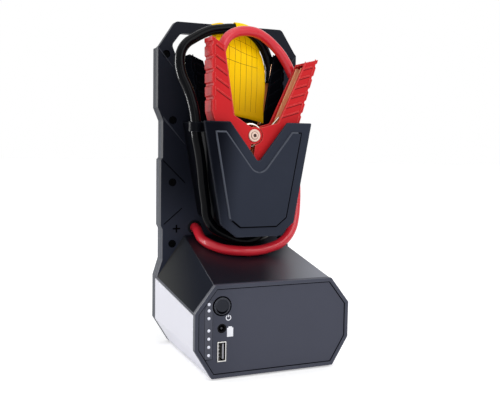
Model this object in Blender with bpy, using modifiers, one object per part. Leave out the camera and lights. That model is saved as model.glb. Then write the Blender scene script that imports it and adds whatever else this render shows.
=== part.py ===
"""Jump starter pack: a battery base with a carrying tower, two spring clamps in a holster, and their cables.

Metres, +Z up. The ports face -Y and the tower stands at +Y. The origin is the middle of the footprint, on
the floor. Heights written in the tables below are above BASE_Z, the underside of the shells.
"""

import math

import bmesh
import bpy
from mathutils import Matrix, Vector

# ---------------------------------------------------------------- driving dimensions
BODY_WIDTH = 0.1228
BODY_DEPTH = 0.112
FOOT_HEIGHT = 0.0010
SEAM = 0.0003  # gap between two pieces that touch
WALL = 0.0024  # moulded wall of the shells

FRONT_SHELL_DEPTH = 0.0064
REAR_SHELL_DEPTH = 0.0084

# base: the octagonal face, and the hood that climbs from it to the tower
FACE_HEIGHT = 0.0669
FACE_TOP_INSET = 0.0150  # insets are from the side of the body
FACE_BOTTOM_INSET = 0.0128
FACE_SIDE_TOP = 0.0477
FACE_SIDE_BOTTOM = 0.0209
HOOD_BACK_HEIGHT = 0.0900
HOOD_BACK_INSET = 0.0229
HOOD_SIDE_BACK = 0.0565
HOOD_LIP = 0.0016
HOOD_BITE = 0.0012  # how far the hood runs into the tower wall

# tower: the waisted plate and its handle
WAIST_INSET = 0.0044
HIP_INSET = 0.0029
WAIST_FOOT_Z = 0.0706
HIP_BOTTOM_Z = 0.0970
HIP_TOP_Z = 0.1532
HIP_STEP = 0.0016
FLARE_BOTTOM_Z = 0.1840
FLARE_TOP_Z = 0.1944
SHOULDER_CHAMFER = 0.0014
HANDLE_TOP_Z = 0.2635
HANDLE_RISE = 0.0210  # from the shoulders to the handle's top
HANDLE_TOP_INSET = 0.0144
HANDLE_CORNER = 0.0040
HANDLE_BAR = 0.0092
GRIP_TOP_INSET = 0.0189
GRIP_WIDE_INSET = 0.0114
GRIP_WIDE_DROP = 0.0189  # below the handle's top
GRIP_BOTTOM_INSET = 0.0214
GRIP_BOTTOM_DROP = 0.0415
BAY_INSET = 0.0184  # hollow of the tower, between the two screw rails
BAY_TOP_WALL = 0.0090  # solid between the hollow and the hand opening

# screws that hold the two tower shells
SCREW_INSET = 0.0126
SCREW_ZS = (0.0835, 0.1340, 0.1845)
TOP_SCREW_INSET = 0.0069
TOP_SCREW_DROP = 0.0053  # below the shoulders
SCREW_HEAD_RADIUS = 0.0026
SCREW_HEAD_HEIGHT = 0.0018
SCREW_SHANK_RADIUS = 0.0013
SCREW_SINK = 0.0030
SCREW_LENGTH = 0.0092

# bezel and what shows in it
BEZEL_DEPTH = 0.0040
RIM_WIDTH = 0.0026
RIM_PROUD = 0.0008
PORT_INSET = 0.0204
BUTTON_Z = 0.0518
BUTTON_RADIUS = 0.0061
BUTTON_GAP = 0.0008
BUTTON_TRAVEL = 0.0012
BUTTON_FLANGE = 0.0016
JACK_Z = 0.0357
JACK_RADIUS = 0.0032
JACK_BORE = 0.0026
JACK_PIN_RADIUS = 0.0008
USB_Z = 0.0190
USB_WIDTH = 0.0066
USB_HEIGHT = 0.0144
USB_METAL = 0.0006
USB_TONGUE = 0.0018
LED_INSET = 0.0105
LED_STRIP_WIDTH = 0.0058
LED_STRIP_BOTTOM = 0.0142
LED_STRIP_TOP = 0.0560
LED_ZS = (0.0172, 0.0231, 0.0290, 0.0349, 0.0437, 0.0492, 0.0537)
LED_RADIUS = 0.0009
BOARD_GAP = 0.0060  # from the bezel's back to the control board
BOARD_THICKNESS = 0.0016
BOARD_REACH = 0.0140  # from the ports to the board's right edge
POST_RADIUS = 0.0020
POST_ZS = (0.0120, 0.0440)

# battery stack
CELL_INSET = 0.0134
CELL_GAP = 0.0034  # from the control board to the cells
CELL_HEIGHT = 0.0118
CELL_COUNT = 3
PAD_THICKNESS = 0.0020
BRACKET_METAL = 0.0012
STRAP_DEPTH = 0.0180
MANAGER_WIDTH = 0.0700
MANAGER_DEPTH = 0.0560
RELAY_SIZE = (0.0200, 0.0160, 0.0150)

# feet
FOOT_RADIUS = 0.0060
FOOT_INSET_X = 0.0234
FOOT_INSET_Y = 0.0180

# holster: a tub on the tower with a wider cover, so that the cables wind round it
HOLSTER_TOP_Z = 0.1829
HOLSTER_TOP_HALF = 0.0444
HOLSTER_SIDE_Z = 0.1056
HOLSTER_SIDE_HALF = 0.0304
HOLSTER_BOTTOM_Z = 0.0955
HOLSTER_BOTTOM_HALF = 0.0178
NOTCH_HALF = 0.0235
NOTCH_DEPTH = 0.0307
NOTCH_RADIUS = 0.0022
COVER_FRONT_Y = -0.0230
COVER_THICKNESS = 0.0030
COVER_BEVEL = 0.0009
FIELD_INSET = 0.0075
FIELD_PROUD = 0.0010
FIELD_BEVEL = 0.0009
FIELD_RADIUS = 0.0086
TUB_INSET = 0.0037
TUB_WALL = 0.0018
HOOK_DROP = 0.0044  # from the holster's top to the middle of the hooks
HOOK_HEIGHT = 0.0072
HOOK_LEFT_Y = -0.0060
HOOK_RIGHT_Y = 0.0120
HOOK_WALL = 0.0012
HOOK_MOUTH = 0.0066

# cables
CABLE_DIAMETER = 0.0078
CABLE_CLEARANCE = 0.0004
CABLE_EXIT_X = 0.0296
CABLE_EXIT_Z = 0.0965
CABLE_INSIDE = 0.0001  # how far the cables end in front of the split
CABLE_STRAIGHT = 0.0045
CABLE_STEP = 0.0095  # spacing of the points along a cable
GROMMET_FLANGE = 0.0009
GROMMET_RADIUS = 0.0060
LUG_METAL = 0.0014
LUG_DROP = 0.0150

# clamps, in a frame of their own: origin on the pivot, +Z towards the grips, one half on each side of X = 0
CLAMP_TILT = math.radians(8.0)
CLAMP_HALF_WIDTH = 0.0086
CLAMP_PIVOT_X = 0.0015
CLAMP_PIVOT_Z = 0.1727
RED_CLAMP_Y = -0.0077
BLACK_CLAMP_Y = 0.0205
BLACK_CLAMP_DROP = 0.0045  # the black clamp sits deeper in the holster
BLACK_SQUEEZE = math.radians(7.0)  # and its free grip is a little squeezed
GRIP_SHELL = 0.0018
JAW_METAL = 0.0013
GRIP_END_Z = 0.0672
GRIP_END_SLANT = 0.0047  # how far its inner corner stays below the outer one
GRIP_END_OUTER = 0.0450
GRIP_END_INNER = 0.0338
GRIP_SHOULDER = (0.0362, 0.0125)
GRIP_THROAT = (0.0182, 0.0125)
GRIP_VALLEY_FIRST = 0.0049  # down the grip's back from its end
GRIP_VALLEY_PITCH = 0.0101
GRIP_VALLEY_DEPTH = 0.0010
GRIP_VALLEY_MOUTH = 0.0034
GRIP_VALLEY_FLOOR = 0.0018
GRIP_BACK = ((0.0305, 0.0), (0.0215, -0.0140), (0.0130, -0.0240))
EAR_RADIUS = 0.0066
EAR_CLEARANCE = 0.0006
JAW_THROAT = 0.0016  # how far the liner stays behind the edge of the grip
JAW_NOSE = ((0.0124, -0.0310), (0.0108, -0.0390))
JAW_TIP_X = 0.0060
JAW_TIP_Z = -0.0450
JAW_GAP = 0.0005
TOOTH_COUNT = 4
TOOTH_DEPTH = 0.0016
PIVOT_RADIUS = 0.0024
PIVOT_CLEARANCE = 0.0003
RIVET_RADIUS = 0.0049
RIVET_HEIGHT = 0.0012
RIVET_HUB = 0.0028
RIVET_HOLE = 0.0011
SPRING_RADIUS = 0.0088
SPRING_WIRE = 0.00095
SPRING_STEPS = 16
SPRING_LEAN = math.radians(35.0)  # of its two legs
SPRING_LEG = 0.0280

# yellow tag over the black cable
TAG_THICKNESS = 0.0004
TAG_COLUMNS = (-0.0255, -0.0165, -0.0080, -0.0020, 0.0050, 0.0110, 0.0165, 0.0212)
TAG_NECK = (2, 4)  # the columns between which it folds over the cable
TAG_LIFT = 0.0055  # how far its top edge stands above the middle of the cable
TAG_ROWS = (  # height, then how far back the film hangs at its left and right edge
    (0.2390, 0.0145, 0.0200),
    (0.2270, 0.0125, 0.0150),
    (0.2120, 0.0105, 0.0110),
    (0.1990, 0.0098, 0.0106),
)
TAG_BOTTOM_Z = (0.1925, 0.1842)
TAG_SHIFT = 0.0012
TAG_CORNER = (  # its upper right corner, which stays behind the cable's bend
    (0.0184, 0.0222, 0.2465),
    (0.0186, 0.0222, 0.2420),
    (0.0194, 0.0186, 0.2365),
)

# ---------------------------------------------------------------- places worked out from the dimensions
BASE_Z = FOOT_HEIGHT + SEAM
HALF = BODY_WIDTH / 2
FACE_TOP_HALF = HALF - FACE_TOP_INSET
FACE_BOTTOM_HALF = HALF - FACE_BOTTOM_INSET
HOOD_BACK_HALF = HALF - HOOD_BACK_INSET
WAIST_HALF = HALF - WAIST_INSET
HIP_HALF = HALF - HIP_INSET
HANDLE_TOP_HALF = HALF - HANDLE_TOP_INSET
GRIP_TOP_HALF = HALF - GRIP_TOP_INSET
GRIP_WIDE_HALF = HALF - GRIP_WIDE_INSET
GRIP_BOTTOM_HALF = HALF - GRIP_BOTTOM_INSET
BAY_HALF = HALF - BAY_INSET
SHOULDER_Z = HANDLE_TOP_Z - HANDLE_RISE
GRIP_WIDE_Z = HANDLE_TOP_Z - GRIP_WIDE_DROP
GRIP_BOTTOM_Z = HANDLE_TOP_Z - GRIP_BOTTOM_DROP
BAY_TOP_Z = GRIP_BOTTOM_Z - BAY_TOP_WALL
TOP_SCREW_Z = SHOULDER_Z - TOP_SCREW_DROP
SCREW_X = HALF - SCREW_INSET
TOP_SCREW_X = HALF - TOP_SCREW_INSET
PORT_X = PORT_INSET - HALF
LED_X = LED_INSET - HALF
BOARD_RIGHT = PORT_X + BOARD_REACH
FRONT_Y = -BODY_DEPTH / 2
BACK_Y = BODY_DEPTH / 2
SPLIT_Y = BACK_Y - REAR_SHELL_DEPTH
TOWER_Y = SPLIT_Y - FRONT_SHELL_DEPTH
HOOD_FRONT_Y = FRONT_Y + BEZEL_DEPTH + SEAM
BOARD_Y = FRONT_Y + BEZEL_DEPTH + BOARD_GAP
CELL_HALF_WIDTH = HALF - CELL_INSET
CELL_HALF_DEPTH = BODY_DEPTH / 2 - BEZEL_DEPTH - BOARD_GAP - BOARD_THICKNESS - CELL_GAP
FOOT_X = HALF - FOOT_INSET_X
FOOT_Y = BODY_DEPTH / 2 - FOOT_INSET_Y
COVER_BACK_Y = COVER_FRONT_Y + COVER_THICKNESS
CABLE_RADIUS = CABLE_DIAMETER / 2
NOTCH_Z = HOLSTER_TOP_Z - NOTCH_DEPTH
HOOK_Z = HOLSTER_TOP_Z - HOOK_DROP
GRIP_END_INNER_Z = GRIP_END_Z - GRIP_END_SLANT
JAW_EAR_RADIUS = EAR_RADIUS - EAR_CLEARANCE
FIXED_JAW_HALF = CLAMP_HALF_WIDTH - GRIP_SHELL - SEAM
FREE_JAW_HALF = FIXED_JAW_HALF - JAW_METAL - SEAM
TUB_FRONT_Y = COVER_BACK_Y + SEAM
TUB_BACK_Y = TOWER_Y - SEAM
HOOK_X = HOLSTER_TOP_HALF - TUB_INSET + CABLE_RADIUS + CABLE_CLEARANCE
CELLS_Z = WALL + SEAM + PAD_THICKNESS + SEAM
CELLS_TOP_Z = CELLS_Z + CELL_COUNT * (CELL_HEIGHT + SEAM)
MANAGER_Z = CELLS_TOP_Z + BRACKET_METAL + SEAM

PARTS = "jump_starter_pack"
HELPERS = "cutters"


# ---------------------------------------------------------------- tools
def reset_scene():
    for obj in list(bpy.data.objects):
        bpy.data.objects.remove(obj)
    for name in (PARTS, HELPERS):
        bpy.context.scene.collection.children.link(bpy.data.collections.new(name))


def material(name, colour, roughness, metallic=0.0):
    """A plain Principled material, made once for each name."""
    found = bpy.data.materials.get(name)
    if found:
        return found
    made = bpy.data.materials.new(name)
    made.use_nodes = True
    shader = made.node_tree.nodes["Principled BSDF"]
    shader.inputs["Base Color"].default_value = (*colour, 1.0)
    shader.inputs["Roughness"].default_value = roughness
    shader.inputs["Metallic"].default_value = metallic
    return made


def black_plastic():
    return material("black_plastic", (0.012, 0.013, 0.017), 0.42)


def grey_plastic():
    return material("grey_plastic", (0.075, 0.077, 0.085), 0.35)


def pale_plastic():
    return material("pale_plastic", (0.80, 0.80, 0.86), 0.30)


def slate_plastic():
    return material("slate_plastic", (0.055, 0.060, 0.080), 0.45)


def red_plastic():
    return material("red_plastic", (0.72, 0.030, 0.040), 0.40)


def rubber():
    return material("rubber", (0.010, 0.010, 0.011), 0.75)


def steel():
    return material("steel", (0.62, 0.62, 0.60), 0.28, 1.0)


def copper():
    return material("copper", (0.70, 0.33, 0.17), 0.35, 1.0)


def board_green():
    return material("circuit_board", (0.015, 0.14, 0.06), 0.50)


def cell_foil():
    return material("cell_foil", (0.42, 0.44, 0.47), 0.38, 0.8)


def yellow_film():
    return material("yellow_film", (0.90, 0.58, 0.01), 0.45)


def clear_light():
    return material("light_pipe", (0.62, 0.64, 0.70), 0.25)


def add(name, mesh, finish, helper=False):
    """Links a mesh as a named part, or as a hidden cutter."""
    obj = bpy.data.objects.new(name, mesh)
    bpy.data.collections[HELPERS if helper else PARTS].objects.link(obj)
    if helper:
        obj.hide_render = True
        obj.display_type = "WIRE"
    else:
        obj.data.materials.append(finish)
    return obj


def meshed(curve_obj):
    """The mesh of a curve object, with its caps welded and the curve removed."""
    bpy.context.view_layer.update()
    evaluated = curve_obj.evaluated_get(bpy.context.evaluated_depsgraph_get())
    mesh = bpy.data.meshes.new_from_object(evaluated)
    mesh.transform(curve_obj.matrix_world)
    work = bmesh.new()
    work.from_mesh(mesh)
    bmesh.ops.remove_doubles(work, verts=work.verts, dist=1e-6)
    bmesh.ops.recalc_face_normals(work, faces=work.faces)
    work.to_mesh(mesh)
    work.free()
    mesh.materials.clear()
    bpy.data.objects.remove(curve_obj)
    return mesh


def slab_mesh(outlines, low, high, axis="Y"):
    """Closed (x, z) outlines, later ones being holes, thickened along Y, or (x, y) ones along Z."""
    curve = bpy.data.curves.new("outline", "CURVE")
    curve.dimensions = "2D"
    curve.fill_mode = "BOTH"
    curve.extrude = (high - low) / 2
    for outline in outlines:
        spline = curve.splines.new("POLY")
        spline.points.add(len(outline) - 1)
        for point, (u, v) in zip(spline.points, outline):
            point.co = (u, v, 0.0, 1.0)
        spline.use_cyclic_u = True
    obj = bpy.data.objects.new("outline", curve)
    bpy.context.scene.collection.objects.link(obj)
    middle = (low + high) / 2
    if axis == "Y":
        obj.rotation_euler = (math.pi / 2, 0.0, 0.0)
        obj.location = (0.0, middle, 0.0)
    else:
        obj.location = (0.0, 0.0, middle)
    return meshed(obj)


def slab(name, outlines, low, high, finish=None, axis="Y"):
    return add(name, slab_mesh(outlines, low, high, axis), finish, helper=finish is None)


def box(name, low, high, finish=None):
    """A box between two corners."""
    work = bmesh.new()
    bmesh.ops.create_cube(work, size=1.0)
    low, high = Vector(low), Vector(high)
    sides = Matrix.Diagonal((*(high - low), 1.0))
    bmesh.ops.transform(work, matrix=Matrix.Translation((low + high) / 2) @ sides, verts=work.verts)
    mesh = bpy.data.meshes.new(name)
    work.to_mesh(mesh)
    work.free()
    return add(name, mesh, finish, helper=finish is None)


def rod(name, start, end, radius, finish=None, sides=24):
    """A round bar between two points."""
    start, end = Vector(start), Vector(end)
    work = bmesh.new()
    length = (end - start).length
    bmesh.ops.create_cone(work, cap_ends=True, segments=sides, radius1=radius, radius2=radius, depth=length)
    turn = (end - start).to_track_quat("Z", "Y").to_matrix().to_4x4()
    bmesh.ops.transform(work, matrix=Matrix.Translation((start + end) / 2) @ turn, verts=work.verts)
    mesh = bpy.data.meshes.new(name)
    work.to_mesh(mesh)
    work.free()
    return add(name, mesh, finish, helper=finish is None)


def turned(name, profile, finish, origin, steps=24, towards="front"):
    """A lathe shape. The profile is (radius, height) down its outer side, with height to the front or up."""
    mesh = bpy.data.meshes.new(name)
    closed = profile[0][0] > 0 and profile[-1][0] > 0
    count = len(profile)
    edges = [(i, i + 1) for i in range(count - 1)] + ([(count - 1, 0)] if closed else [])
    mesh.from_pydata([(radius, 0.0, height) for radius, height in profile], edges, [])
    obj = add(name, mesh, finish)
    obj.location = origin
    if towards == "front":
        obj.rotation_euler = (math.pi / 2, 0.0, 0.0)
    screw = obj.modifiers.new("turn", "SCREW")
    screw.steps = screw.render_steps = steps
    screw.use_merge_vertices = True
    screw.merge_threshold = 1e-5
    screw.use_smooth_shade = True
    return obj


def open_loft(name, front, back, front_y, back_y, finish):
    """An open surface from one (x, z) chain to another, thickened inwards by WALL."""
    count = len(front)
    points = [(x, front_y, z) for x, z in front] + [(x, back_y, z) for x, z in back]
    faces = [(count + i, count + i + 1, i + 1, i) for i in range(count - 1)]
    mesh = bpy.data.meshes.new(name)
    mesh.from_pydata(points, [], faces)
    obj = add(name, mesh, finish, helper=finish is None)
    thicken = obj.modifiers.new("wall", "SOLIDIFY")
    thicken.thickness = WALL
    thicken.offset = -1.0
    thicken.use_even_offset = True
    return obj


def boolean(obj, other, operation):
    change = obj.modifiers.new(operation.lower(), "BOOLEAN")
    change.operation = operation
    change.object = other
    change.solver = "EXACT"


def cut(obj, *others):
    for other in others:
        boolean(obj, other, "DIFFERENCE")


def join(obj, *others):
    for other in others:
        boolean(obj, other, "UNION")


def soften(obj, width, angle=35.0):
    """Rounds the sharp edges of a piece."""
    bevel = obj.modifiers.new("edges", "BEVEL")
    bevel.width = width
    bevel.segments = 2
    bevel.limit_method = "ANGLE"
    bevel.angle_limit = math.radians(angle)


def mirrored(chain):
    """A chain on the +X side, closed by its mirror image."""
    return list(chain) + [(-x, z) for x, z in reversed(chain)]


def lifted(chain):
    """Heights above BASE_Z turned into heights above the floor."""
    return [(x, z + BASE_Z) for x, z in chain]


def offset_chain(points, distance):
    """An open chain moved sideways, to its left, with mitred corners."""
    points = [Vector(p) for p in points]
    normals = []
    for start, end in zip(points, points[1:]):
        along = (end - start).normalized()
        normals.append(Vector((-along.y, along.x)))
    moved = [points[0] + normals[0] * distance]
    for point, before, after in zip(points[1:], normals, normals[1:]):
        middle = (before + after).normalized()
        moved.append(point + middle * (distance / middle.dot(before)))
    moved.append(points[-1] + normals[-1] * distance)
    return [tuple(p) for p in moved]


def inset_ring(ring, distance):
    """A closed anticlockwise outline moved inwards by distance."""
    return offset_chain([ring[-1], *ring, ring[0]], distance)[1:-1] if distance else ring


def rounded(before, corner, after, radius, steps=5):
    """Points of an arc of this radius that replaces a corner."""
    corner = Vector(corner)
    first = (Vector(before) - corner).normalized()
    second = (Vector(after) - corner).normalized()
    half_angle = first.angle(second) / 2
    run = radius / math.tan(half_angle)
    centre = corner + (first + second).normalized() * (radius / math.sin(half_angle))
    start = corner + first * run - centre
    end = corner + second * run - centre
    sweep = start.angle_signed(end)
    turns = (Matrix.Rotation(-sweep * i / steps, 2) for i in range(steps + 1))
    return [tuple(centre + turn @ start) for turn in turns]


def smooth_route(points, step):
    """A curve through the points, at about even steps, by Catmull-Rom with chord-length knots."""
    points = [Vector(p) for p in points]
    ends = [2 * points[0] - points[1], *points, 2 * points[-1] - points[-2]]
    fine = []
    for i in range(1, len(ends) - 2):
        p0, p1, p2, p3 = ends[i - 1 : i + 3]
        t1 = (p1 - p0).length ** 0.5
        t2 = t1 + (p2 - p1).length ** 0.5
        t3 = t2 + (p3 - p2).length ** 0.5
        for k in range(12):
            t = t1 + (t2 - t1) * k / 12
            a1 = p0.lerp(p1, t / t1)
            a2 = p1.lerp(p2, (t - t1) / (t2 - t1))
            a3 = p2.lerp(p3, (t - t2) / (t3 - t2))
            b1 = a1.lerp(a2, t / t2)
            b2 = a2.lerp(a3, (t - t1) / (t3 - t1))
            fine.append(b1.lerp(b2, (t - t1) / (t2 - t1)))
    fine.append(points[-1])
    length = sum((b - a).length for a, b in zip(fine, fine[1:]))
    count = round(length / step)
    spacing, walked, kept = length / count, 0.0, [fine[0]]
    for a, b in zip(fine, fine[1:]):
        walked += (b - a).length
        if walked >= spacing * len(kept) and len(kept) < count:
            kept.append(b)
    return kept + [fine[-1]]


def wire(name, points, radius, finish, resolution=2):
    """A round wire or cable along these points, with flat ends."""
    curve = bpy.data.curves.new(name, "CURVE")
    curve.dimensions = "3D"
    curve.bevel_depth = radius
    curve.bevel_resolution = resolution
    curve.use_fill_caps = True
    spline = curve.splines.new("POLY")
    spline.points.add(len(points) - 1)
    for target, point in zip(spline.points, points):
        target.co = (*point, 1.0)
    obj = bpy.data.objects.new(name, curve)
    bpy.data.collections[PARTS].objects.link(obj)
    curve.materials.append(finish)
    return obj


# ---------------------------------------------------------------- outlines
def face_outline(inset=0.0):
    """The octagon of the base, moved inwards by inset."""
    right = [
        (FACE_BOTTOM_HALF, 0.0),
        (HALF, FACE_SIDE_BOTTOM),
        (HALF, FACE_SIDE_TOP),
        (FACE_TOP_HALF, FACE_HEIGHT),
    ]
    return inset_ring(mirrored(lifted(right)), inset)


def tower_side():
    """The +X edge of the tower, from the hood's foot to the shoulder."""
    return [
        (HALF, HOOD_SIDE_BACK),
        (WAIST_HALF, WAIST_FOOT_Z),
        (WAIST_HALF, HIP_BOTTOM_Z - HIP_STEP),
        (HIP_HALF, HIP_BOTTOM_Z + HIP_STEP),
        (HIP_HALF, HIP_TOP_Z - HIP_STEP / 2),
        (WAIST_HALF, HIP_TOP_Z + HIP_STEP / 2),
        (WAIST_HALF, FLARE_BOTTOM_Z),
        (HALF, FLARE_TOP_Z),
        (HALF, SHOULDER_Z),
    ]


def grip_opening():
    """The +X half of the hand opening, from its top to its bottom."""
    top = HANDLE_TOP_Z - HANDLE_BAR
    side = [(GRIP_TOP_HALF, top), (GRIP_WIDE_HALF, GRIP_WIDE_Z), (GRIP_BOTTOM_HALF, GRIP_BOTTOM_Z)]
    corners = [(0.0, top), *side, (0.0, GRIP_BOTTOM_Z)]
    soft = []
    for before, corner, after in zip(corners, corners[1:], corners[2:]):
        soft += rounded(before, corner, after, HANDLE_CORNER, steps=3)
    return soft


def holster_chain():
    """The sides and the bottom of the holster's cover, from the left top round to the right top."""
    right = [
        (HOLSTER_BOTTOM_HALF, HOLSTER_BOTTOM_Z),
        (HOLSTER_SIDE_HALF, HOLSTER_SIDE_Z),
        (HOLSTER_TOP_HALF, HOLSTER_TOP_Z),
    ]
    return lifted([(-x, z) for x, z in reversed(right)] + right)


def cover_outline(inset=0.0, notch_radius=NOTCH_RADIUS):
    """The shield of the cover with its V notch, moved inwards by inset."""
    chain = holster_chain()
    top = HOLSTER_TOP_Z + BASE_Z
    notch = [(NOTCH_HALF, top), (0.0, NOTCH_Z + BASE_Z), (-NOTCH_HALF, top)]
    ring = inset_ring([*chain, *notch], inset)
    tip = len(chain) + 1
    arc = rounded(ring[tip - 1], ring[tip], ring[tip + 1], notch_radius)
    return [*ring[:tip], *arc, *ring[tip + 1 :]]


# ---------------------------------------------------------------- shells
def screw_places():
    """The (x, z) of the eight tower screws."""
    right = [(SCREW_X, z) for z in SCREW_ZS] + [(TOP_SCREW_X, TOP_SCREW_Z)]
    return lifted([(side * x, z) for side in (-1, 1) for x, z in right])


def hood_chain(half_top, height, side):
    """One cross-section of the hood, from its left lip over the top to its right lip."""
    right = [(half_top, height), (HALF, side), (HALF, side - HOOD_LIP)]
    return lifted([(-x, z) for x, z in reversed(right)] + right)


def front_shell():
    shoulder = (HALF - SHOULDER_CHAMFER, SHOULDER_Z + SHOULDER_CHAMFER)
    top = rounded(shoulder, (HANDLE_TOP_HALF, HANDLE_TOP_Z), (0.0, HANDLE_TOP_Z), HANDLE_CORNER)
    outer = [(HALF, HOOD_SIDE_BACK - HOOD_LIP), *tower_side(), shoulder, *top]
    outlines = [mirrored(lifted(outer)), mirrored(lifted(grip_opening()))]
    shell = slab("front_shell", outlines, TOWER_Y, SPLIT_Y - SEAM, black_plastic())
    # the hood is joined first, so that the cuts below also open its back
    front = hood_chain(FACE_TOP_HALF, FACE_HEIGHT, FACE_SIDE_TOP)
    back = hood_chain(HOOD_BACK_HALF, HOOD_BACK_HEIGHT, HOOD_SIDE_BACK)
    join(shell, open_loft("hood", back, front, TOWER_Y + HOOD_BITE, HOOD_FRONT_Y, None))
    inner = offset_chain(hood_chain(HOOD_BACK_HALF, HOOD_BACK_HEIGHT, HOOD_SIDE_BACK), -WALL)
    foot = HOOD_SIDE_BACK - HOOD_LIP + BASE_Z - WALL
    inner = [(inner[0][0], foot), *inner, (inner[-1][0], foot)]
    cut(shell, slab("battery_bay_cut", [inner], TOWER_Y - WALL, SPLIT_Y + WALL))
    hollow = mirrored(lifted([(BAY_HALF, HOOD_BACK_HEIGHT - WALL), (BAY_HALF, BAY_TOP_Z)]))
    cut(shell, slab("tower_hollow_cut", [hollow], TOWER_Y + WALL, SPLIT_Y + WALL))
    head, shank = SCREW_HEAD_RADIUS + SEAM, SCREW_SHANK_RADIUS + SEAM
    for index, (x, z) in enumerate(screw_places()):
        deep = TOWER_Y + SCREW_SINK
        cut(shell, rod(f"head_hole_{index}", (x, TOWER_Y - WALL, z), (x, deep, z), head, sides=16))
        cut(shell, rod(f"shank_hole_{index}", (x, deep - WALL, z), (x, SPLIT_Y + WALL, z), shank, sides=12))
    for side in (-1, 1):
        x, z = side * CABLE_EXIT_X, CABLE_EXIT_Z + BASE_Z
        radius = CABLE_RADIUS + CABLE_CLEARANCE + GROMMET_FLANGE + SEAM
        cut(shell, rod(f"grommet_hole_{side}", (x, TOWER_Y - WALL, z), (x, SPLIT_Y, z), radius))
    return shell


def rear_shell():
    low = [(FACE_BOTTOM_HALF, 0.0), (HALF, FACE_SIDE_BOTTOM)]
    rise = (SHOULDER_Z - GRIP_BOTTOM_Z) / (GRIP_WIDE_Z - GRIP_BOTTOM_Z)
    wide = GRIP_BOTTOM_HALF + (GRIP_WIDE_HALF - GRIP_BOTTOM_HALF) * rise
    yoke = [(wide, SHOULDER_Z), (GRIP_BOTTOM_HALF, GRIP_BOTTOM_Z)]
    shell = slab("rear_shell", [mirrored(lifted(low + tower_side() + yoke))], SPLIT_Y, BACK_Y, grey_plastic())
    side = [(HALF, HOOD_SIDE_BACK), (WAIST_HALF, WAIST_FOOT_Z)]
    base = offset_chain([(-FACE_BOTTOM_HALF, 0.0), *low, *side], WALL)[1:-1]
    room = lifted([*base, (BAY_HALF, WAIST_FOOT_Z), (BAY_HALF, BAY_TOP_Z)])
    cut(shell, slab("rear_room_cut", [mirrored(room)], SPLIT_Y - WALL, BACK_Y - WALL))
    for index, (x, z) in enumerate(screw_places()):
        hole = (x, SPLIT_Y - WALL, z), (x, TOWER_Y + SCREW_SINK + SCREW_LENGTH + SEAM, z)
        cut(shell, rod(f"pilot_hole_{index}", *hole, SCREW_SHANK_RADIUS + SEAM, sides=12))
    return shell


def base_tray():
    """The pale lower shell: both flanks, the two lower chamfers and the floor."""

    def chain(side_top):
        right = [(FACE_BOTTOM_HALF, 0.0), (HALF, FACE_SIDE_BOTTOM), (HALF, side_top - HOOD_LIP - SEAM)]
        return lifted([(-x, z) for x, z in reversed(right)] + right)

    rise = (HOOD_SIDE_BACK - FACE_SIDE_TOP) / (TOWER_Y - HOOD_FRONT_Y)
    back_side = FACE_SIDE_TOP + rise * (SPLIT_Y - SEAM - HOOD_FRONT_Y)
    front, back = chain(FACE_SIDE_TOP), chain(min(back_side, HOOD_SIDE_BACK))
    return open_loft("base_tray", front, back, HOOD_FRONT_Y, SPLIT_Y - SEAM, pale_plastic())


def feet():
    for side in (-1, 1):
        for end, name in ((-1, "front"), (1, "rear")):
            label = f"foot_{name}_{'left' if side < 0 else 'right'}"
            foot = (side * FOOT_X, end * FOOT_Y, 0.0)
            sole = FOOT_RADIUS - FOOT_HEIGHT / 2
            profile = [(0.0, FOOT_HEIGHT), (FOOT_RADIUS, FOOT_HEIGHT), (sole, 0.0), (0.0, 0.0)]
            turned(label, profile, rubber(), foot, steps=16, towards="up")


def tower_screws():
    for index, (x, z) in enumerate(screw_places()):
        socket = SCREW_HEAD_HEIGHT / 2
        profile = [
            (0.0, -socket),
            (SCREW_SHANK_RADIUS, -socket),
            (SCREW_SHANK_RADIUS, 0.0),
            (SCREW_HEAD_RADIUS, 0.0),
            (SCREW_HEAD_RADIUS, -SCREW_HEAD_HEIGHT),
            (SCREW_SHANK_RADIUS, -SCREW_HEAD_HEIGHT),
            (SCREW_SHANK_RADIUS, -SCREW_LENGTH),
            (0.0, -SCREW_LENGTH),
        ]
        head_top = TOWER_Y + SCREW_SINK - SEAM - SCREW_HEAD_HEIGHT
        turned(f"tower_screw_{index + 1}", profile, steel(), (x, head_top, z), steps=12)


# ---------------------------------------------------------------- front panel
def front_bezel():
    bezel = slab("front_bezel", [face_outline()], FRONT_Y, FRONT_Y + BEZEL_DEPTH, slate_plastic())
    cut(bezel, slab("face_recess", [face_outline(RIM_WIDTH)], FRONT_Y - RIM_PROUD, FRONT_Y + RIM_PROUD))
    inside, outside = FRONT_Y + BEZEL_DEPTH + WALL, FRONT_Y - WALL
    button_z, jack_z, usb_z = BUTTON_Z + BASE_Z, JACK_Z + BASE_Z, USB_Z + BASE_Z
    for x, z in board_posts():
        post = (x, FRONT_Y + BEZEL_DEPTH - WALL / 2, z), (x, BOARD_Y - SEAM, z)
        join(bezel, rod(f"board_post_{round(z * 1000)}", *post, POST_RADIUS, sides=12))
    button = (PORT_X, outside, button_z), (PORT_X, inside, button_z)
    cut(bezel, rod("button_hole", *button, BUTTON_RADIUS + BUTTON_GAP, sides=32))
    cut(bezel, rod("jack_hole", (PORT_X, outside, jack_z), (PORT_X, inside, jack_z), JACK_RADIUS + SEAM))
    wide, tall = USB_WIDTH / 2 + SEAM, USB_HEIGHT / 2 + SEAM
    usb = (PORT_X - wide, outside, usb_z - tall), (PORT_X + wide, inside, usb_z + tall)
    cut(bezel, box("usb_hole", *usb))
    cut(bezel, slab("led_hole", [led_outline(SEAM)], outside, inside))
    return bezel


def board_posts():
    """Where the control board stands on the bezel."""
    return [(BOARD_RIGHT - 2 * POST_RADIUS, z + BASE_Z) for z in POST_ZS]


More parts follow.
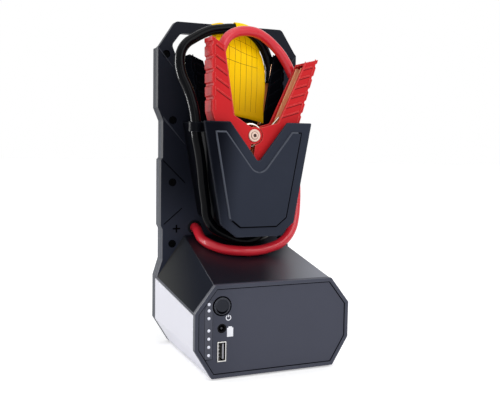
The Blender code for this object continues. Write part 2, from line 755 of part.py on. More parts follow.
def led_outline(grow=0.0):
    """The strip, whose top corner follows the slanted side of the octagon."""
    half, slant = LED_STRIP_WIDTH / 2, LED_STRIP_WIDTH
    low, high = LED_STRIP_BOTTOM + BASE_Z, LED_STRIP_TOP + BASE_Z
    left, right = LED_X - half, LED_X + half
    ring = [(left, low), (right, low), (right, high), (right - slant / 2, high), (left, high - slant)]
    return inset_ring(ring, -grow)


def led_light_pipe():
    face = FRONT_Y + RIM_PROUD
    pipe = slab("led_light_pipe", [led_outline()], face, FRONT_Y + BEZEL_DEPTH, clear_light())
    for index, z in enumerate(lifted([(LED_X, z) for z in LED_ZS])):
        pip = (z[0], face - RIM_PROUD / 4, z[1]), (z[0], face + WALL, z[1])
        join(pipe, rod(f"led_pip_{index}", *pip, LED_RADIUS, sides=12))
    return pipe


def power_button():
    """A dished cap with a flange that stays behind the bezel."""
    back = -(BEZEL_DEPTH + SEAM)
    profile = [
        (0.0, -RIM_PROUD),
        (BUTTON_RADIUS * 0.55, -RIM_PROUD * 0.7),
        (BUTTON_RADIUS - RIM_PROUD, 0.0),
        (BUTTON_RADIUS, -RIM_PROUD * 0.4),
        (BUTTON_RADIUS, back),
        (BUTTON_RADIUS + BUTTON_FLANGE, back),
        (BUTTON_RADIUS + BUTTON_FLANGE, back - BUTTON_TRAVEL),
        (0.0, back - BUTTON_TRAVEL),
    ]
    turned("power_button", profile, black_plastic(), (PORT_X, FRONT_Y, BUTTON_Z + BASE_Z), steps=32)


def button_switch():
    half = BUTTON_RADIUS / 2
    front = FRONT_Y + BEZEL_DEPTH + SEAM + 2 * BUTTON_TRAVEL + SEAM
    low = (PORT_X - half, front, BUTTON_Z + BASE_Z - half)
    box("button_switch", low, (PORT_X + half, BOARD_Y - SEAM, BUTTON_Z + BASE_Z + half), steel())


def dc_jack():
    depth = BOARD_Y - SEAM - FRONT_Y - RIM_PROUD
    origin = (PORT_X, FRONT_Y + RIM_PROUD, JACK_Z + BASE_Z)
    floor = -depth * 0.8
    bore = [(0.0, floor), (JACK_BORE, floor), (JACK_BORE, 0.0)]
    turned("dc_jack", [*bore, (JACK_RADIUS, 0.0), (JACK_RADIUS, -depth), (0.0, -depth)], rubber(), origin)
    tip, root = -RIM_PROUD, floor + SEAM
    pin = [(0.0, tip), (JACK_PIN_RADIUS, tip), (JACK_PIN_RADIUS, root), (0.0, root)]
    turned("dc_jack_pin", pin, steel(), origin, steps=12)


def usb_port():
    z = USB_Z + BASE_Z
    wide, tall = USB_WIDTH / 2, USB_HEIGHT / 2
    front, back = FRONT_Y + RIM_PROUD / 2, BOARD_Y - SEAM
    shell = box("usb_shell", (PORT_X - wide, front, z - tall), (PORT_X + wide, back, z + tall), steel())
    inner = wide - USB_METAL, tall - USB_METAL
    low = (PORT_X - inner[0], front - WALL, z - inner[1])
    cut(shell, box("usb_room", low, (PORT_X + inner[0], back - USB_METAL, z + inner[1])))
    right = PORT_X + inner[0] - SEAM
    low = (right - USB_TONGUE, front + 2 * USB_METAL, z - inner[1] + USB_METAL)
    box("usb_tongue", low, (right, back - USB_METAL - SEAM, z + inner[1] - USB_METAL), rubber())


def control_board():
    sides = [(-HALF, FACE_SIDE_BOTTOM), (-HALF, FACE_SIDE_TOP)]
    inner = offset_chain([(-FACE_BOTTOM_HALF, 0.0), *sides, (-FACE_TOP_HALF, FACE_HEIGHT)], -2 * WALL)
    low, high = inner[0][1] + WALL, inner[-1][1] - WALL
    left = [(inner[0][0], low), inner[1], inner[2], (inner[-1][0], high)]
    outline = lifted([(BOARD_RIGHT, low), *left, (BOARD_RIGHT, high)])
    slab("control_board", [outline], BOARD_Y, BOARD_Y + BOARD_THICKNESS, board_green())


# ---------------------------------------------------------------- battery
def battery():
    half_x, half_y = CELL_HALF_WIDTH, CELL_HALF_DEPTH
    floor = BASE_Z + WALL + SEAM
    pad = (-half_x + WALL, -half_y, floor), (half_x - WALL, half_y, floor + PAD_THICKNESS)
    box("battery_pad", *pad, rubber())
    for index in range(CELL_COUNT):
        low = BASE_Z + CELLS_Z + index * (CELL_HEIGHT + SEAM)
        corners = (-half_x, -half_y, low), (half_x, half_y, low + CELL_HEIGHT)
        soften(box(f"battery_cell_{index + 1}", *corners, cell_foil()), CELL_HEIGHT / 6)


def battery_bracket():
    """A steel strap over the stack, with a leg down each side."""
    half = CELL_HALF_WIDTH + SEAM
    top = BASE_Z + CELLS_TOP_Z
    foot = BASE_Z + CELLS_Z + CELL_HEIGHT / 2
    outer = half + BRACKET_METAL
    right = [(half, top), (half, foot), (outer, foot), (outer, top + BRACKET_METAL)]
    slab("battery_bracket", [mirrored(right)], -STRAP_DEPTH / 2, STRAP_DEPTH / 2, steel())


def management_board():
    floor = BASE_Z + MANAGER_Z
    half_x, half_y = MANAGER_WIDTH / 2, MANAGER_DEPTH / 2
    board = (-half_x, -half_y, floor), (half_x, half_y, floor + BOARD_THICKNESS)
    box("management_board", *board, board_green())
    foot = floor + BOARD_THICKNESS + SEAM
    width, depth, height = RELAY_SIZE
    relay = (-width / 2, -depth / 2, foot), (width / 2, depth / 2, foot + height)
    box("output_relay", *relay, black_plastic())


# ---------------------------------------------------------------- holster
def holster_body():
    outer = offset_chain(holster_chain(), TUB_INSET)
    top = HOLSTER_TOP_Z + BASE_Z
    outer = [(outer[0][0], top), *outer[1:-1], (outer[-1][0], top)]
    tub = slab("holster_body", [outer], TUB_FRONT_Y, TUB_BACK_Y, black_plastic())
    for side in (-1, 1):
        join(tub, hook_block(side))
    inner = offset_chain(outer, TUB_WALL)
    above = top + TUB_WALL
    inner = [(inner[0][0], above), *inner, (inner[-1][0], above)]
    cut(tub, slab("pocket", [inner], TUB_FRONT_Y - TUB_WALL, TUB_BACK_Y - TUB_WALL))
    for side in (-1, 1):
        x, y, z = hook_place(side)
        low, high = z - HOOK_HEIGHT, z + HOOK_HEIGHT
        bore = CABLE_RADIUS + CABLE_CLEARANCE
        cut(tub, rod(f"hook_bore_{side}", (x, y, low), (x, y, high), bore, sides=32))
        mouth = (x - HOOK_MOUTH / 2, y, low), (x + HOOK_MOUTH / 2, y + 3 * CABLE_RADIUS, high)
        cut(tub, box(f"hook_mouth_{side}", *mouth))
    return tub


def hook_place(side):
    """The middle of one cable hook."""
    return (side * HOOK_X, HOOK_RIGHT_Y if side > 0 else HOOK_LEFT_Y, HOOK_Z + BASE_Z)


def hook_block(side):
    """The round block of one cable hook, before its bore, with a web that reaches into the tub's wall."""
    reach = CABLE_RADIUS + CABLE_CLEARANCE + HOOK_WALL
    x, y, z = hook_place(side)
    low, high = z - HOOK_HEIGHT / 2, z + HOOK_HEIGHT / 2
    block = rod(f"hook_block_{side}", (x, y, low), (x, y, high), reach, sides=32)
    xs = sorted((x, x - side * (reach + TUB_WALL / 2)))
    web = (xs[0], y - reach * 0.7, low), (xs[1], y + reach * 0.7, high)
    join(block, box(f"hook_web_{side}", *web))
    return block


def holster_cover():
    cover = slab("holster_cover", [cover_outline()], COVER_FRONT_Y, COVER_BACK_Y, slate_plastic())
    soften(cover, COVER_BEVEL)
    field = cover_outline(FIELD_INSET, FIELD_RADIUS)
    plateau = slab("cover_field", [field], COVER_FRONT_Y - FIELD_PROUD, COVER_FRONT_Y + COVER_THICKNESS / 2)
    soften(plateau, FIELD_BEVEL)
    join(cover, plateau)
    return cover


# ---------------------------------------------------------------- clamps
def clamp_frame(side, y, drop):
    """The clamp's own frame in the world. side is +1 where the free grip is on +X, -1 where it is on -X."""
    place = Matrix.Translation((-side * CLAMP_PIVOT_X, y, CLAMP_PIVOT_Z - drop + BASE_Z))
    mirror = Matrix.Diagonal((side, 1.0, 1.0, 1.0))
    return place @ mirror @ Matrix.Rotation(CLAMP_TILT, 4, "Y")


def half_chain():
    """The outer edge of the +X grip, from its end down to the jaw."""
    return [(GRIP_END_OUTER, GRIP_END_Z), GRIP_SHOULDER, *GRIP_BACK]


def crested(start, end):
    """The grip's back from start to end, with shallow valleys between its finger ribs."""
    start, end = Vector(start), Vector(end)
    length = (end - start).length
    along = (end - start) / length
    inward = Vector((along.y, -along.x)) * GRIP_VALLEY_DEPTH
    mouth, floor = along * GRIP_VALLEY_MOUTH / 2, along * GRIP_VALLEY_FLOOR / 2
    points = []
    for i in range(int((length - GRIP_VALLEY_FIRST - GRIP_VALLEY_MOUTH) / GRIP_VALLEY_PITCH) + 1):
        middle = start + along * (GRIP_VALLEY_FIRST + i * GRIP_VALLEY_PITCH)
        points += [middle - mouth, middle - floor + inward, middle + floor + inward, middle + mouth]
    return [tuple(start), *map(tuple, points), tuple(end)]


def place(obj_mesh, frame):
    """Moves a mesh made in the clamp's frame into the world, with its faces kept outwards."""
    obj_mesh.transform(frame)
    if frame.determinant() < 0:
        obj_mesh.flip_normals()
    return obj_mesh


def arc(radius, start, end, steps):
    """Points round the pivot, from one angle to another in degrees, angles taken from +X towards +Z."""
    turns = (math.radians(start + (end - start) * i / steps) for i in range(steps + 1))
    return [(radius * math.cos(turn), radius * math.sin(turn)) for turn in turns]


def clamp_slab(outlines, half_width, frame):
    return place(slab_mesh(outlines, -half_width, half_width), frame)


def clamp_rod(name, radius, half_width, frame, sides=24):
    start, end = frame @ Vector((0, -half_width, 0)), frame @ Vector((0, half_width, 0))
    return rod(name, start, end, radius, sides=sides)


def grip(name, frame, half, finish, ear):
    """One moulded grip: a channel open towards the other grip. half is -1 or +1 along the clamp's X."""
    chain = half_chain()
    edge = JAW_GAP + JAW_METAL
    if ear:
        inner = [(edge, chain[-1][1]), *arc(EAR_RADIUS, -78.5, -298.0, 20)]
    else:
        inner = [(edge + EAR_CLEARANCE, chain[-1][1]), *arc(EAR_RADIUS + EAR_CLEARANCE, -75.0, 60.0, 14)]
    tip = [GRIP_THROAT, (GRIP_END_INNER, GRIP_END_INNER_Z)]
    outline = crested(chain[0], chain[1]) + chain[2:] + inner + tip
    flip = [(half * x, z) for x, z in outline]
    piece = add(name, clamp_slab([flip], CLAMP_HALF_WIDTH, frame), finish)
    reach = CLAMP_HALF_WIDTH + GRIP_SHELL
    inside = offset_chain(chain, -GRIP_SHELL)
    end, inner_end = GRIP_END_Z - GRIP_SHELL, GRIP_END_INNER_Z - GRIP_SHELL
    far = -GRIP_END_INNER
    below = 2 * chain[-1][1]
    first, last = (inside[0][0] - GRIP_SHELL / 4, end), (inside[-1][0], below)
    room = [first, *inside[1:-1], last, (far, below), (far, inner_end), (GRIP_END_INNER, inner_end)]
    flip = [(half * x, z) for x, z in room]
    width = CLAMP_HALF_WIDTH - GRIP_SHELL
    cut(piece, add(f"{name}_room", clamp_slab([flip], width, frame), None, helper=True))
    if ear:
        cut(piece, clamp_rod(f"{name}_bore", PIVOT_RADIUS + PIVOT_CLEARANCE, reach, frame, sides=16))
        notch = [(half * x, z) for x, z in cable_notch()]
        gap = CABLE_RADIUS + 2 * CABLE_CLEARANCE
        cut(piece, add(f"{name}_cable_notch", clamp_slab([notch], gap, frame), None, helper=True))
    return piece


def cable_notch():
    """The slot in the end of the grip that takes the cable, open towards the other grip."""
    width = 2 * (CABLE_RADIUS + CABLE_CLEARANCE)
    low, high = GRIP_END_INNER_Z - 2 * GRIP_SHELL, GRIP_END_Z + GRIP_SHELL
    reach = GRIP_END_INNER + width * 0.85
    return [(0.0, low), (reach, low), (reach, high), (0.0, high)]


def jaw(name, frame, half, half_width):
    """One pressed jaw: a channel of sheet metal from inside the grip to the teeth."""
    outer = offset_chain(half_chain(), -(GRIP_SHELL + SEAM))
    top = Vector(outer[1]).lerp(Vector(outer[0]), 0.84)
    jaw_edge = [tuple(top), *outer[1:], *JAW_NOSE, (JAW_TIP_X, JAW_TIP_Z)]
    teeth_top, teeth_bottom = -0.0260, JAW_TIP_Z
    step = (teeth_top - teeth_bottom) / TOOTH_COUNT
    teeth = []
    for i in range(TOOTH_COUNT):
        low = teeth_bottom + i * step
        teeth += [(JAW_GAP, low), (JAW_GAP + TOOTH_DEPTH, low + step * 0.75)]
    ear = arc(JAW_EAR_RADIUS, -55.0, -300.0, 16)
    throat = (GRIP_THROAT[0] + JAW_THROAT, GRIP_THROAT[1] - JAW_THROAT / 2)
    rise = [(JAW_GAP, teeth_top), (0.0045, -0.0180), *ear, throat, (top.x - 0.0085, top.y)]
    outline = [(half * x, z) for x, z in [*jaw_edge, *teeth, *rise]]
    piece = add(name, clamp_slab([outline], half_width, frame), copper())
    inside = offset_chain(jaw_edge, -JAW_METAL)
    low, high, far = JAW_TIP_Z - JAW_METAL, top.y + JAW_METAL, -GRIP_THROAT[0]
    room = [*inside[:-1], (inside[-1][0] - TOOTH_DEPTH, low), (far, low), (far, high), (inside[0][0], high)]
    room = [(half * x, z) for x, z in room]
    cut(piece, add(f"{name}_room", clamp_slab([room], half_width - JAW_METAL, frame), None, helper=True))
    bore = PIVOT_RADIUS + PIVOT_CLEARANCE
    cut(piece, clamp_rod(f"{name}_bore", bore, half_width + JAW_METAL, frame, sides=16))
    return piece


def rivet(name, frame):
    """The pivot: a bar with a broad head at each end. The front one has a raised hub with a hole."""
    reach = CLAMP_HALF_WIDTH + SEAM
    face = reach + RIVET_HEIGHT / 2
    profile = [
        (0.0, reach - RIVET_HEIGHT),
        (RIVET_HOLE, reach - RIVET_HEIGHT),
        (RIVET_HOLE, reach + RIVET_HEIGHT),
        (RIVET_HUB - RIVET_HEIGHT / 3, reach + RIVET_HEIGHT),
        (RIVET_HUB, face + RIVET_HEIGHT / 4),
        (RIVET_HUB, face),
        (RIVET_RADIUS - RIVET_HEIGHT / 4, face),
        (RIVET_RADIUS, reach + RIVET_HEIGHT / 4),
        (RIVET_RADIUS, reach),
        (PIVOT_RADIUS, reach),
        (PIVOT_RADIUS, -reach),
        (RIVET_RADIUS, -reach),
        (RIVET_RADIUS - RIVET_HEIGHT / 2, -reach - RIVET_HEIGHT),
        (0.0, -reach - RIVET_HEIGHT),
    ]
    turned(name, profile, steel(), frame.translation, steps=32)


def spring(name, frame):
    """A torsion spring round the pivot, with as many turns as the jaws take and a leg in each grip."""
    first = math.pi + SPRING_LEAN
    part = 0.5 - SPRING_LEAN / math.pi
    pitch = 2.1 * SPRING_WIRE
    room = 2 * (FREE_JAW_HALF - JAW_METAL - SEAM / 2 - SPRING_WIRE)
    turns = part + max(0, int(room / pitch - part))
    sweep, rise = 2 * math.pi * turns, pitch * turns
    steps = round(turns * SPRING_STEPS)
    coil = []
    for i in range(steps + 1):
        angle = first + sweep * i / steps
        y = rise * (i / steps - 0.5)
        coil.append(Vector((SPRING_RADIUS * math.cos(angle), y, SPRING_RADIUS * math.sin(angle))))
    leg = Vector((math.sin(SPRING_LEAN), 0.0, math.cos(SPRING_LEAN))) * SPRING_LEG
    left = coil[0] + Vector((-leg.x, 0.0, leg.z))
    wire(name, [frame @ p for p in [left, *coil, coil[-1] + leg]], SPRING_WIRE, steel())


def clamp(colour, side, y, finish, drop=0.0, squeeze=0.0):
    frame = clamp_frame(side, y, drop)
    free_frame = frame @ Matrix.Rotation(-squeeze, 4, "Y")
    grip(f"{colour}_grip_fixed", frame, -1, finish, ear=True)
    grip(f"{colour}_grip_free", free_frame, 1, finish, ear=False)
    jaw(f"{colour}_jaw_fixed", frame, -1, FIXED_JAW_HALF)
    jaw(f"{colour}_jaw_free", free_frame, 1, FREE_JAW_HALF)
    rivet(f"{colour}_rivet", frame)
    spring(f"{colour}_spring", frame)


# ---------------------------------------------------------------- cables
def cable_start(side):
    """The straight run of a cable through the tower's wall."""
    x, z = side * CABLE_EXIT_X, CABLE_EXIT_Z + BASE_Z
    inside = SPLIT_Y - CABLE_INSIDE
    return [(x, inside - i * CABLE_STRAIGHT, z) for i in range(3)]


def above_hood(x, y, rise):
    """A point this far above the top of the hood."""
    share = (y - HOOD_FRONT_Y) / (TOWER_Y - HOOD_FRONT_Y)
    return (x, y, BASE_Z + FACE_HEIGHT + (HOOD_BACK_HEIGHT - FACE_HEIGHT) * share + rise)


def red_route():
    """From the lug under the holster to the right, up through its hook and over into the red grip."""
    return [
        *cable_start(-1),
        (-0.0302, 0.0315, 0.0960),
        above_hood(-0.0303, 0.0220, 0.00467),
        above_hood(-0.0270, 0.0095, 0.00418),
        above_hood(-0.0195, -0.0010, 0.00419),
        above_hood(-0.0100, -0.0065, 0.00466),
        above_hood(0.0023, -0.0080, 0.00453),
        above_hood(0.0145, -0.0060, 0.00504),
        (0.0262, -0.0058, 0.0880),
        (0.0340, -0.0045, 0.0935),
        (0.0398, -0.0015, 0.1007),
        (0.0434, 0.0020, 0.1090),
        (0.0459, 0.0055, 0.1190),
        (0.0472, 0.0080, 0.1290),
        (0.0472, 0.0096, 0.1400),
        (0.0467, 0.0109, 0.1530),
        (0.0458, 0.0118, 0.1650),
        (0.0450, 0.0120, 0.1745),
        (0.0450, 0.0120, 0.1798),
        (0.0450, 0.0120, 0.1850),
        (0.0452, 0.0116, 0.1915),
        (0.0455, 0.0105, 0.1985),
        (0.0452, 0.0086, 0.2090),
        (0.0432, 0.0070, 0.2190),
        (0.0388, 0.0070, 0.2278),
        (0.0352, 0.0070, 0.2338),
        (0.0303, 0.0072, 0.2404),
        (0.0237, 0.0072, 0.2466),
        (0.0156, 0.0050, 0.2514),
        (0.0066, 0.0020, 0.2544),
        (-0.0019, 0.0000, 0.2548),
        (-0.0109, -0.0022, 0.2532),
        (-0.0190, -0.0050, 0.2490),
        (-0.0240, -0.0072, 0.2430),
        (-0.0268, -0.0077, 0.2350),
        (-0.0274, -0.0077, 0.2260),
        (-0.0270, -0.0077, 0.2170),
    ]


def black_route():
    """From the lug under the holster to the left, up through its hook and over into the black grip."""
    return [
        *cable_start(1),
        (0.0296, 0.0315, 0.0976),
        (0.0280, 0.0240, 0.0962),
        (0.0225, 0.0140, 0.0937),
        (0.0125, 0.0052, 0.0916),
        (0.0010, 0.0012, 0.0906),
        (-0.0095, 0.0005, 0.0921),
        (-0.0186, 0.0007, 0.0963),
        (-0.0274, 0.0010, 0.1018),
        (-0.0329, 0.0005, 0.1101),
        (-0.0344, 0.0008, 0.1215),
        (-0.0364, 0.0010, 0.1350),
        (-0.0393, -0.0030, 0.1497),
        (-0.0423, -0.0058, 0.1625),
        (-0.0447, -0.0060, 0.1740),
        (-0.0450, -0.0060, 0.1798),
        (-0.0454, -0.0060, 0.1856),
        (-0.0471, -0.0052, 0.1960),
        (-0.0506, -0.0030, 0.2085),
        (-0.0545, -0.0005, 0.2185),
        (-0.0557, 0.0015, 0.2285),
        (-0.0535, 0.0045, 0.2370),
        (-0.0485, 0.0072, 0.2435),
        (-0.0425, 0.0090, 0.2475),
        (-0.0355, 0.0102, 0.2515),
        (-0.0280, 0.0110, 0.2548),
        (-0.0190, 0.0115, 0.2566),
        (-0.0100, 0.0120, 0.2578),
        (0.0000, 0.0128, 0.2575),
        (0.0077, 0.0136, 0.2551),
        (0.0147, 0.0153, 0.2504),
        (0.0207, 0.0180, 0.2443),
        (0.0250, 0.0202, 0.2370),
        (0.0272, 0.0205, 0.2280),
        (0.0268, 0.0205, 0.2170),
    ]


def cables():
    wire("red_cable", smooth_route(red_route(), CABLE_STEP), CABLE_RADIUS, red_plastic())
    wire("black_cable", smooth_route(black_route(), CABLE_STEP), CABLE_RADIUS, black_plastic())
    bore = CABLE_RADIUS + CABLE_CLEARANCE
    sleeve = bore + GROMMET_FLANGE
    for side, colour in ((-1, "red"), (1, "black")):
        origin = (side * CABLE_EXIT_X, TOWER_Y - SEAM, CABLE_EXIT_Z + BASE_Z)
        inside = -(FRONT_SHELL_DEPTH - WALL)
        profile = [
            (bore, GROMMET_FLANGE),
            (sleeve, GROMMET_FLANGE),
            (GROMMET_RADIUS, GROMMET_FLANGE / 2),
            (GROMMET_RADIUS, 0.0),
            (sleeve, 0.0),
            (sleeve, inside),
            (bore, inside),
        ]
        turned(f"{colour}_grommet", profile, rubber(), origin, steps=20)
        lug(f"{colour}_cable_lug", side)


def lug(name, side):
    """A copper tongue behind the cable's end, down to the busbar."""
    x, z = side * CABLE_EXIT_X, CABLE_EXIT_Z + BASE_Z
    front = SPLIT_Y + SEAM
    low = (x - CABLE_RADIUS, front, z - LUG_DROP)
    box(name, low, (x + CABLE_RADIUS, front + LUG_METAL, z + CABLE_RADIUS), copper())


def busbars():
    """Copper strips from the lugs down and forward to the management board."""
    behind = SPLIT_Y + 2 * SEAM + LUG_METAL
    top = CABLE_EXIT_Z + BASE_Z - CABLE_RADIUS
    board_top = BASE_Z + MANAGER_Z + BOARD_THICKNESS + SEAM
    for side, name in ((-1, "positive"), (1, "negative")):
        x = side * CABLE_EXIT_X
        low = (x - CABLE_RADIUS, behind, board_top)
        bar = box(f"{name}_busbar", low, (x + CABLE_RADIUS, behind + LUG_METAL, top), copper())
        low = (x - CABLE_RADIUS, MANAGER_DEPTH / 2 - 4 * LUG_METAL, board_top)
        high = (x + CABLE_RADIUS, behind + LUG_METAL / 2, board_top + LUG_METAL)
        join(bar, box(f"{name}_foot", low, high))


# ---------------------------------------------------------------- tag
def cable_point(route, x):
    """The (y, z) of the upper run of the black cable at this x."""
    upper = [p for p in route if p[2] > TAG_ROWS[0][0]]
    for (x0, y0, z0), (x1, y1, z1) in zip(upper, upper[1:]):
        if x0 <= x <= x1:
            t = (x - x0) / (x1 - x0)
            return y0 + (y1 - y0) * t, z0 + (z1 - z0) * t
    return upper[-1][1:]


def tag_column(column, x, behind, height, lift):
    """One column of the film, from its top edge over a point behind the cable down to the slanted bottom."""
    share = column / (len(TAG_COLUMNS) - 1)
    rows = [(x - TAG_SHIFT * share * i, a + (b - a) * share, z) for i, (z, a, b) in enumerate(TAG_ROWS)]
    if share == 1.0:
        rows = [*TAG_CORNER, *rows[1:]]
    else:
        rows = [(x, behind, height + lift), (x, behind, height - CABLE_DIAMETER / 2)] + rows
    low, high = TAG_BOTTOM_Z
    return rows + [(rows[-1][0], TAG_ROWS[-1][1] + TAG_SHIFT / 2 * share, low + (high - low) * share)]


def cable_tag():
    """A yellow film that hangs behind the black cable, with a neck folded forward over it."""
    reach = CABLE_RADIUS + 2 * CABLE_CLEARANCE
    route = smooth_route(black_route(), CABLE_STEP / 4)
    first, last = TAG_NECK
    middles = [cable_point(route, x) for x in TAG_COLUMNS]
    columns = [
        tag_column(i, x, y + reach, z, TAG_LIFT if i < first else 0.0)
        for i, (x, (y, z)) in enumerate(zip(TAG_COLUMNS, middles))
    ]
    rows = len(columns[0])
    points = [point for column in columns for point in column]
    faces = [
        (a, a + 1, a + rows + 1, a + rows)
        for column in range(len(columns) - 1)
        for a in range(column * rows, (column + 1) * rows - 1)
    ]
    necks = []
    for column in range(first, last + 1):
        x, (y, z) = TAG_COLUMNS[column], middles[column]
        turns = [math.radians(32.0 * i) for i in range(1, 8)]
        necks.append([column * rows, *range(len(points), len(points) + 7)])
        points += [(x, y + reach * math.cos(turn), z + reach * math.sin(turn)) for turn in turns]
    for low, high in zip(necks, necks[1:]):
        faces += [(high[i], high[i + 1], low[i + 1], low[i]) for i in range(7)]
    mesh = bpy.data.meshes.new("cable_tag")
    mesh.from_pydata(points, [], faces)
    tag = add("cable_tag", mesh, yellow_film())
    film = tag.modifiers.new("film", "SOLIDIFY")
    film.thickness = TAG_THICKNESS
    film.offset = 0.0
    return tag


def main():
    reset_scene()
    front_shell()
    rear_shell()
    base_tray()
    feet()
    tower_screws()
    front_bezel()
    led_light_pipe()
    power_button()
    button_switch()
    dc_jack()
    usb_port()
    control_board()
    battery()
    battery_bracket()
    management_board()
    holster_body()
    holster_cover()
    clamp("red", 1, RED_CLAMP_Y, red_plastic())
    clamp("black", -1, BLACK_CLAMP_Y, black_plastic(), BLACK_CLAMP_DROP, BLACK_SQUEEZE)
    cables()
    busbars()
    cable_tag()


main()
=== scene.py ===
"""Looks of the jump starter pack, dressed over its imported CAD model. Metres, +Z up, the ports face -Y."""

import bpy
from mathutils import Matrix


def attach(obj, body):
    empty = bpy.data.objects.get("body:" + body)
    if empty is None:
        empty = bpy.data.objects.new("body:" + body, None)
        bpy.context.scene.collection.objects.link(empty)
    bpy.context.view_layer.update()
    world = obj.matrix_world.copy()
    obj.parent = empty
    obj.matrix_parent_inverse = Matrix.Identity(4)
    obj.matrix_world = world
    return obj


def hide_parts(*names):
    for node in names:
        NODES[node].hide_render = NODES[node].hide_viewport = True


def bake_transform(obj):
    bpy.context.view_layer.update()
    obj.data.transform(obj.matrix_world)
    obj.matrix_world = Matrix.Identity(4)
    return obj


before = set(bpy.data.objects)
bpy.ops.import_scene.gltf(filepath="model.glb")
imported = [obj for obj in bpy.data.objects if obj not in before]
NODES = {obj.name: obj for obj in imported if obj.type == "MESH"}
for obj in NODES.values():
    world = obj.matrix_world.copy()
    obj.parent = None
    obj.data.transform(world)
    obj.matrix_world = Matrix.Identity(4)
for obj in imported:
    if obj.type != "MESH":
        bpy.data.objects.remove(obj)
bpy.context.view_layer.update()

import math

import bmesh
import bpy
from mathutils import Matrix, Vector

bpy.context.scene.view_settings.view_transform = "Standard"

# ---------------------------------------------------------------- places, as the CAD has them
# Outlines are (x, z) with z above the shells' underside; halves list the right side, from below.
BASE_Z = 0.0013  # the underside of the shells, held up by the feet
HALF = 0.0614
FRONT_Y = -0.056
FACE_Y = FRONT_Y + 0.0008  # inside the raised rim
HOOD_FRONT_Y = -0.0517
TOWER_Y = 0.0412
FACE_HALF = ((0.0486, 0.0), (HALF, 0.0209), (HALF, 0.0477), (0.0464, 0.0669))
HOOD_FRONT_HALF = FACE_HALF[2:]
HOOD_BACK_HALF = ((HALF, 0.0565), (0.0385, 0.0900))
SCREW_WELLS = ((0.0488, 0.0835), (0.0488, 0.1340), (0.0488, 0.1845), (0.0545, 0.2372))
COVER_HALF = ((0.0178, 0.0955), (0.0304, 0.1056), (0.0444, 0.1829), (0.0235, 0.1829))
COVER_NOTCH = (0.0, 0.1522)
FIELD_INSET = 0.0079
FIELD_BEND = 0.0082
WELT_FRONT_Y = -0.02405

PORT_X = -0.0410
BUTTON_Z, USB_Z = 0.0518, 0.0190
LED_X = -0.0509
LED_HEIGHTS = (0.0172, 0.0231, 0.0290, 0.0349, 0.0437, 0.0492, 0.0537)

CLAMP_TILT = math.radians(8.0)
CLAMP_HALF_WIDTH = 0.0086
CLAMP_PIVOT_X, CLAMP_PIVOT_Z = 0.0015, 0.1727
RED_CLAMP_Y, BLACK_CLAMP_Y = -0.0077, 0.0205
BLACK_CLAMP_DROP = 0.0045
BLACK_SQUEEZE = math.radians(7.0)
# On a clamp, points are (distance from its middle, height above the pivot).
GRIP_END = Vector((0.0450, 0.0672))  # outer corner
GRIP_SHOULDER = Vector((0.0362, 0.0125))
GRIP_INNER = (Vector((0.0338, 0.0625)), Vector((0.0182, 0.0125)))
VALLEY_COUNT, VALLEY_FIRST, VALLEY_PITCH, VALLEY_MOUTH = 5, 0.0049, 0.0101, 0.0034
RIB_SLOPE = math.radians(25.0)
RIB_INSET, RIB_SHORT_OF_INNER, RIB_WIDTH, RIB_PROUD = 0.0036, 0.0011, 0.0013, 0.00055
RIB_SHADE_BELOW, RIB_SHADE_WIDTH, RIB_SHADE_PROUD = 0.00095, 0.0007, 0.00012
RIDGE_INSET, RIDGE_WIDTH, RIDGE_PROUD = 0.0024, 0.0008, 0.00045
RIDGE_TOP_GAP, RIDGE_BOTTOM_GAP = 0.0006, 0.0010
INNER_RIDGE_INSET, INNER_RIDGE_WIDTH, INNER_RIDGE_PROUD = 0.0008, 0.0007, 0.00030
SPRING_RADIUS, SPRING_WIRE, SPRING_LEG = 0.0088, 0.00095, 0.0280
SPRING_LEAN = math.radians(35.0)
SPRING_WHOLE_TURNS = 2
SPRING_PITCH = 2.1 * SPRING_WIRE

CABLE_RADIUS = 0.0039
CABLE_STEP = 0.0022
RED_ROUTE = [
    (-0.0296, 0.0475, 0.0978), (-0.0296, 0.0430, 0.0978), (-0.0296, 0.0385, 0.0978), (-0.0302, 0.0315, 0.0960),
    (-0.0303, 0.0220, 0.0912), (-0.0270, 0.0095, 0.0876), (-0.0195, -0.0010, 0.0850), (-0.0100, -0.0065, 0.0841),
    (0.0023, -0.0080, 0.0836), (0.0145, -0.0060, 0.0846), (0.0262, -0.0058, 0.0880), (0.0340, -0.0045, 0.0935),
    (0.0398, -0.0015, 0.1007), (0.0434, 0.0020, 0.1090), (0.0459, 0.0055, 0.1190), (0.0472, 0.0080, 0.1290),
    (0.0472, 0.0096, 0.1400), (0.0467, 0.0109, 0.1530), (0.0458, 0.0118, 0.1650), (0.0450, 0.0120, 0.1745),
    (0.0450, 0.0120, 0.1798), (0.0450, 0.0120, 0.1850), (0.0452, 0.0116, 0.1915), (0.0455, 0.0105, 0.1985),
    (0.0452, 0.0086, 0.2090), (0.0432, 0.0070, 0.2190), (0.0388, 0.0070, 0.2278), (0.0352, 0.0070, 0.2338),
    (0.0303, 0.0072, 0.2404), (0.0237, 0.0072, 0.2466), (0.0156, 0.0050, 0.2514), (0.0066, 0.0020, 0.2544),
    (-0.0019, 0.0000, 0.2548), (-0.0109, -0.0022, 0.2532), (-0.0190, -0.0050, 0.2490), (-0.0240, -0.0072, 0.2430),
    (-0.0268, -0.0077, 0.2350), (-0.0274, -0.0077, 0.2260), (-0.0270, -0.0077, 0.2170),
]
